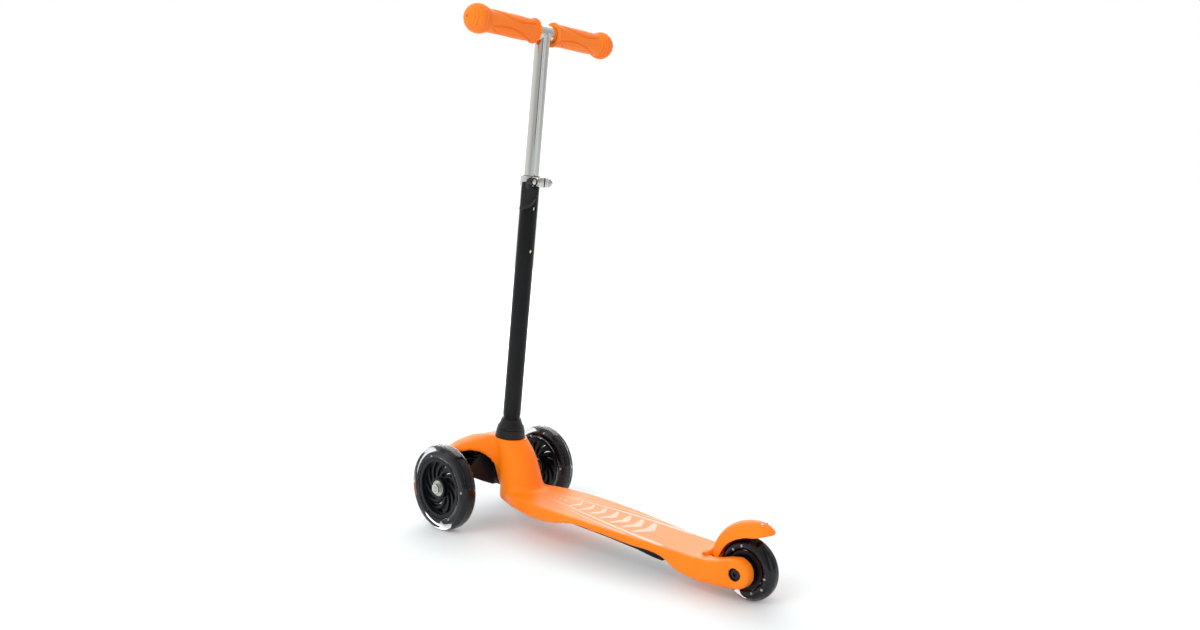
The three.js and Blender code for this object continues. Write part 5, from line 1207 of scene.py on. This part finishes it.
# %% Lamps and world
RIGHT = Vector((-0.73429526, -0.67850163, 0.02111906))
UP = Vector((0.07935495, -0.05489957, 0.99533353))
AHEAD = Vector((0.67417599, -0.73254459, -0.09415495))
EYE = Vector((-0.829283, 0.911399, 0.431234))
MIDDLE = Vector((0.0, 0.0, 0.25))
LEVEL_RIGHT, LEVEL_AHEAD = Vector((-0.7343, -0.6787, 0)).normalized(), Vector((0.6772, -0.7358, 0)).normalized()
WORLD_LIGHT = 0.78
# bearing round the studio, brightness in reflections: 0 is behind the camera, 0.25 to its right, 0.75 to its left
STUDIO_BANDS = (
    (0.01, 0.52), (0.028, 0.13), (0.048, 0.13), (0.066, 0.9), (0.09, 0.9), (0.11, 0.12), (0.14, 0.12), (0.17, 0.45),
    (0.24, 0.5), (0.33, 0.8), (0.42, 1.0), (0.62, 1.0), (0.78, 0.84), (0.86, 0.74), (0.9, 0.56), (0.97, 0.5),
)


def soft_lamp(name, right, ahead, up, size, watts, mirrored):
    """A square lamp at a place counted from the scooter's middle, facing it, and perhaps seen in reflections."""
    light = bpy.data.lights.new(name, "AREA")
    light.shape, light.size, light.energy = "SQUARE", size, watts
    lamp = linked(name, light)
    lamp.location = MIDDLE + LEVEL_RIGHT * right + LEVEL_AHEAD * ahead + Vector((0, 0, up))
    lamp.rotation_euler = (MIDDLE - lamp.location).to_track_quat("-Z", "Y").to_euler()
    lamp.visible_camera = False
    lamp.visible_glossy = mirrored


soft_lamp("key_lamp", -0.3, 2.8, 1.7, 3.4, 70, True)
soft_lamp("fill_lamp", -1.5, -1.9, 1.6, 1.8, 40, False)

world = bpy.data.worlds.new("white_studio")
bpy.context.scene.world = world
world.use_nodes = True
sky = world.node_tree
background = sky.nodes["Background"]
background.inputs["Color"].default_value = WHITE
ray = add_node(sky, "ShaderNodeLightPath").outputs
seen_or_mirrored = maths(sky, "ADD", ray["Is Camera Ray"], ray["Is Glossy Ray"])
seen = maths(sky, "ADD", seen_or_mirrored, ray["Is Transmission Ray"], use_clamp=True)
direction = add_node(sky, "ShaderNodeTexCoord")
turned_sky = add_node(
    sky, "ShaderNodeVectorRotate", {"rotation_type": "Z_AXIS"}, [(direction.outputs["Generated"], "Vector")],
    Angle=math.pi - math.atan2(-AHEAD.y, -AHEAD.x),
)
bearing = add_node(
    sky, "ShaderNodeTexGradient", {"gradient_type": "RADIAL"}, [(turned_sky.outputs["Vector"], "Vector")],
)
bands = add_node(sky, "ShaderNodeValToRGB", links=[(bearing.outputs["Fac"], "Fac")])
stops = bands.color_ramp.elements
bands.color_ramp.interpolation = "EASE"
for end in stops:
    end.color = (STUDIO_BANDS[0][1],) * 3 + (1,)
for position, level in STUDIO_BANDS:
    stops.new(position).color = (level, level, level, 1)
shown = add_node(
    sky, "ShaderNodeMix", {"data_type": "FLOAT"},
    [(ray["Is Glossy Ray"], 0), (seen, 2), (bands.outputs["Color"], 3)],
)
lit = add_node(sky, "ShaderNodeMapRange", links=[(seen, "Value")], To_Min=WORLD_LIGHT, To_Max=0.0)
total = maths(sky, "ADD", shown.outputs[0], lit.outputs["Result"])
sky.links.new(total, background.inputs["Strength"])
bpy.context.scene.view_settings.view_transform = "Standard"

# %% [markdown]
# ## Camera
#
# The camera was fitted to the wheels' ellipses and the stem's plumb in the photograph: a 28.5 mm lens behind
# and to the left, 5.4 degrees above the floor, with a roll of about one degree.

# %% Camera
eye = bpy.data.cameras.new("camera")
eye.lens, eye.sensor_width = 28.4554, 36.0
camera = linked("camera", eye)
camera.matrix_world = Matrix.Translation(EYE) @ Matrix((RIGHT, UP, -AHEAD)).transposed().to_4x4()
bpy.context.scene.camera = camera
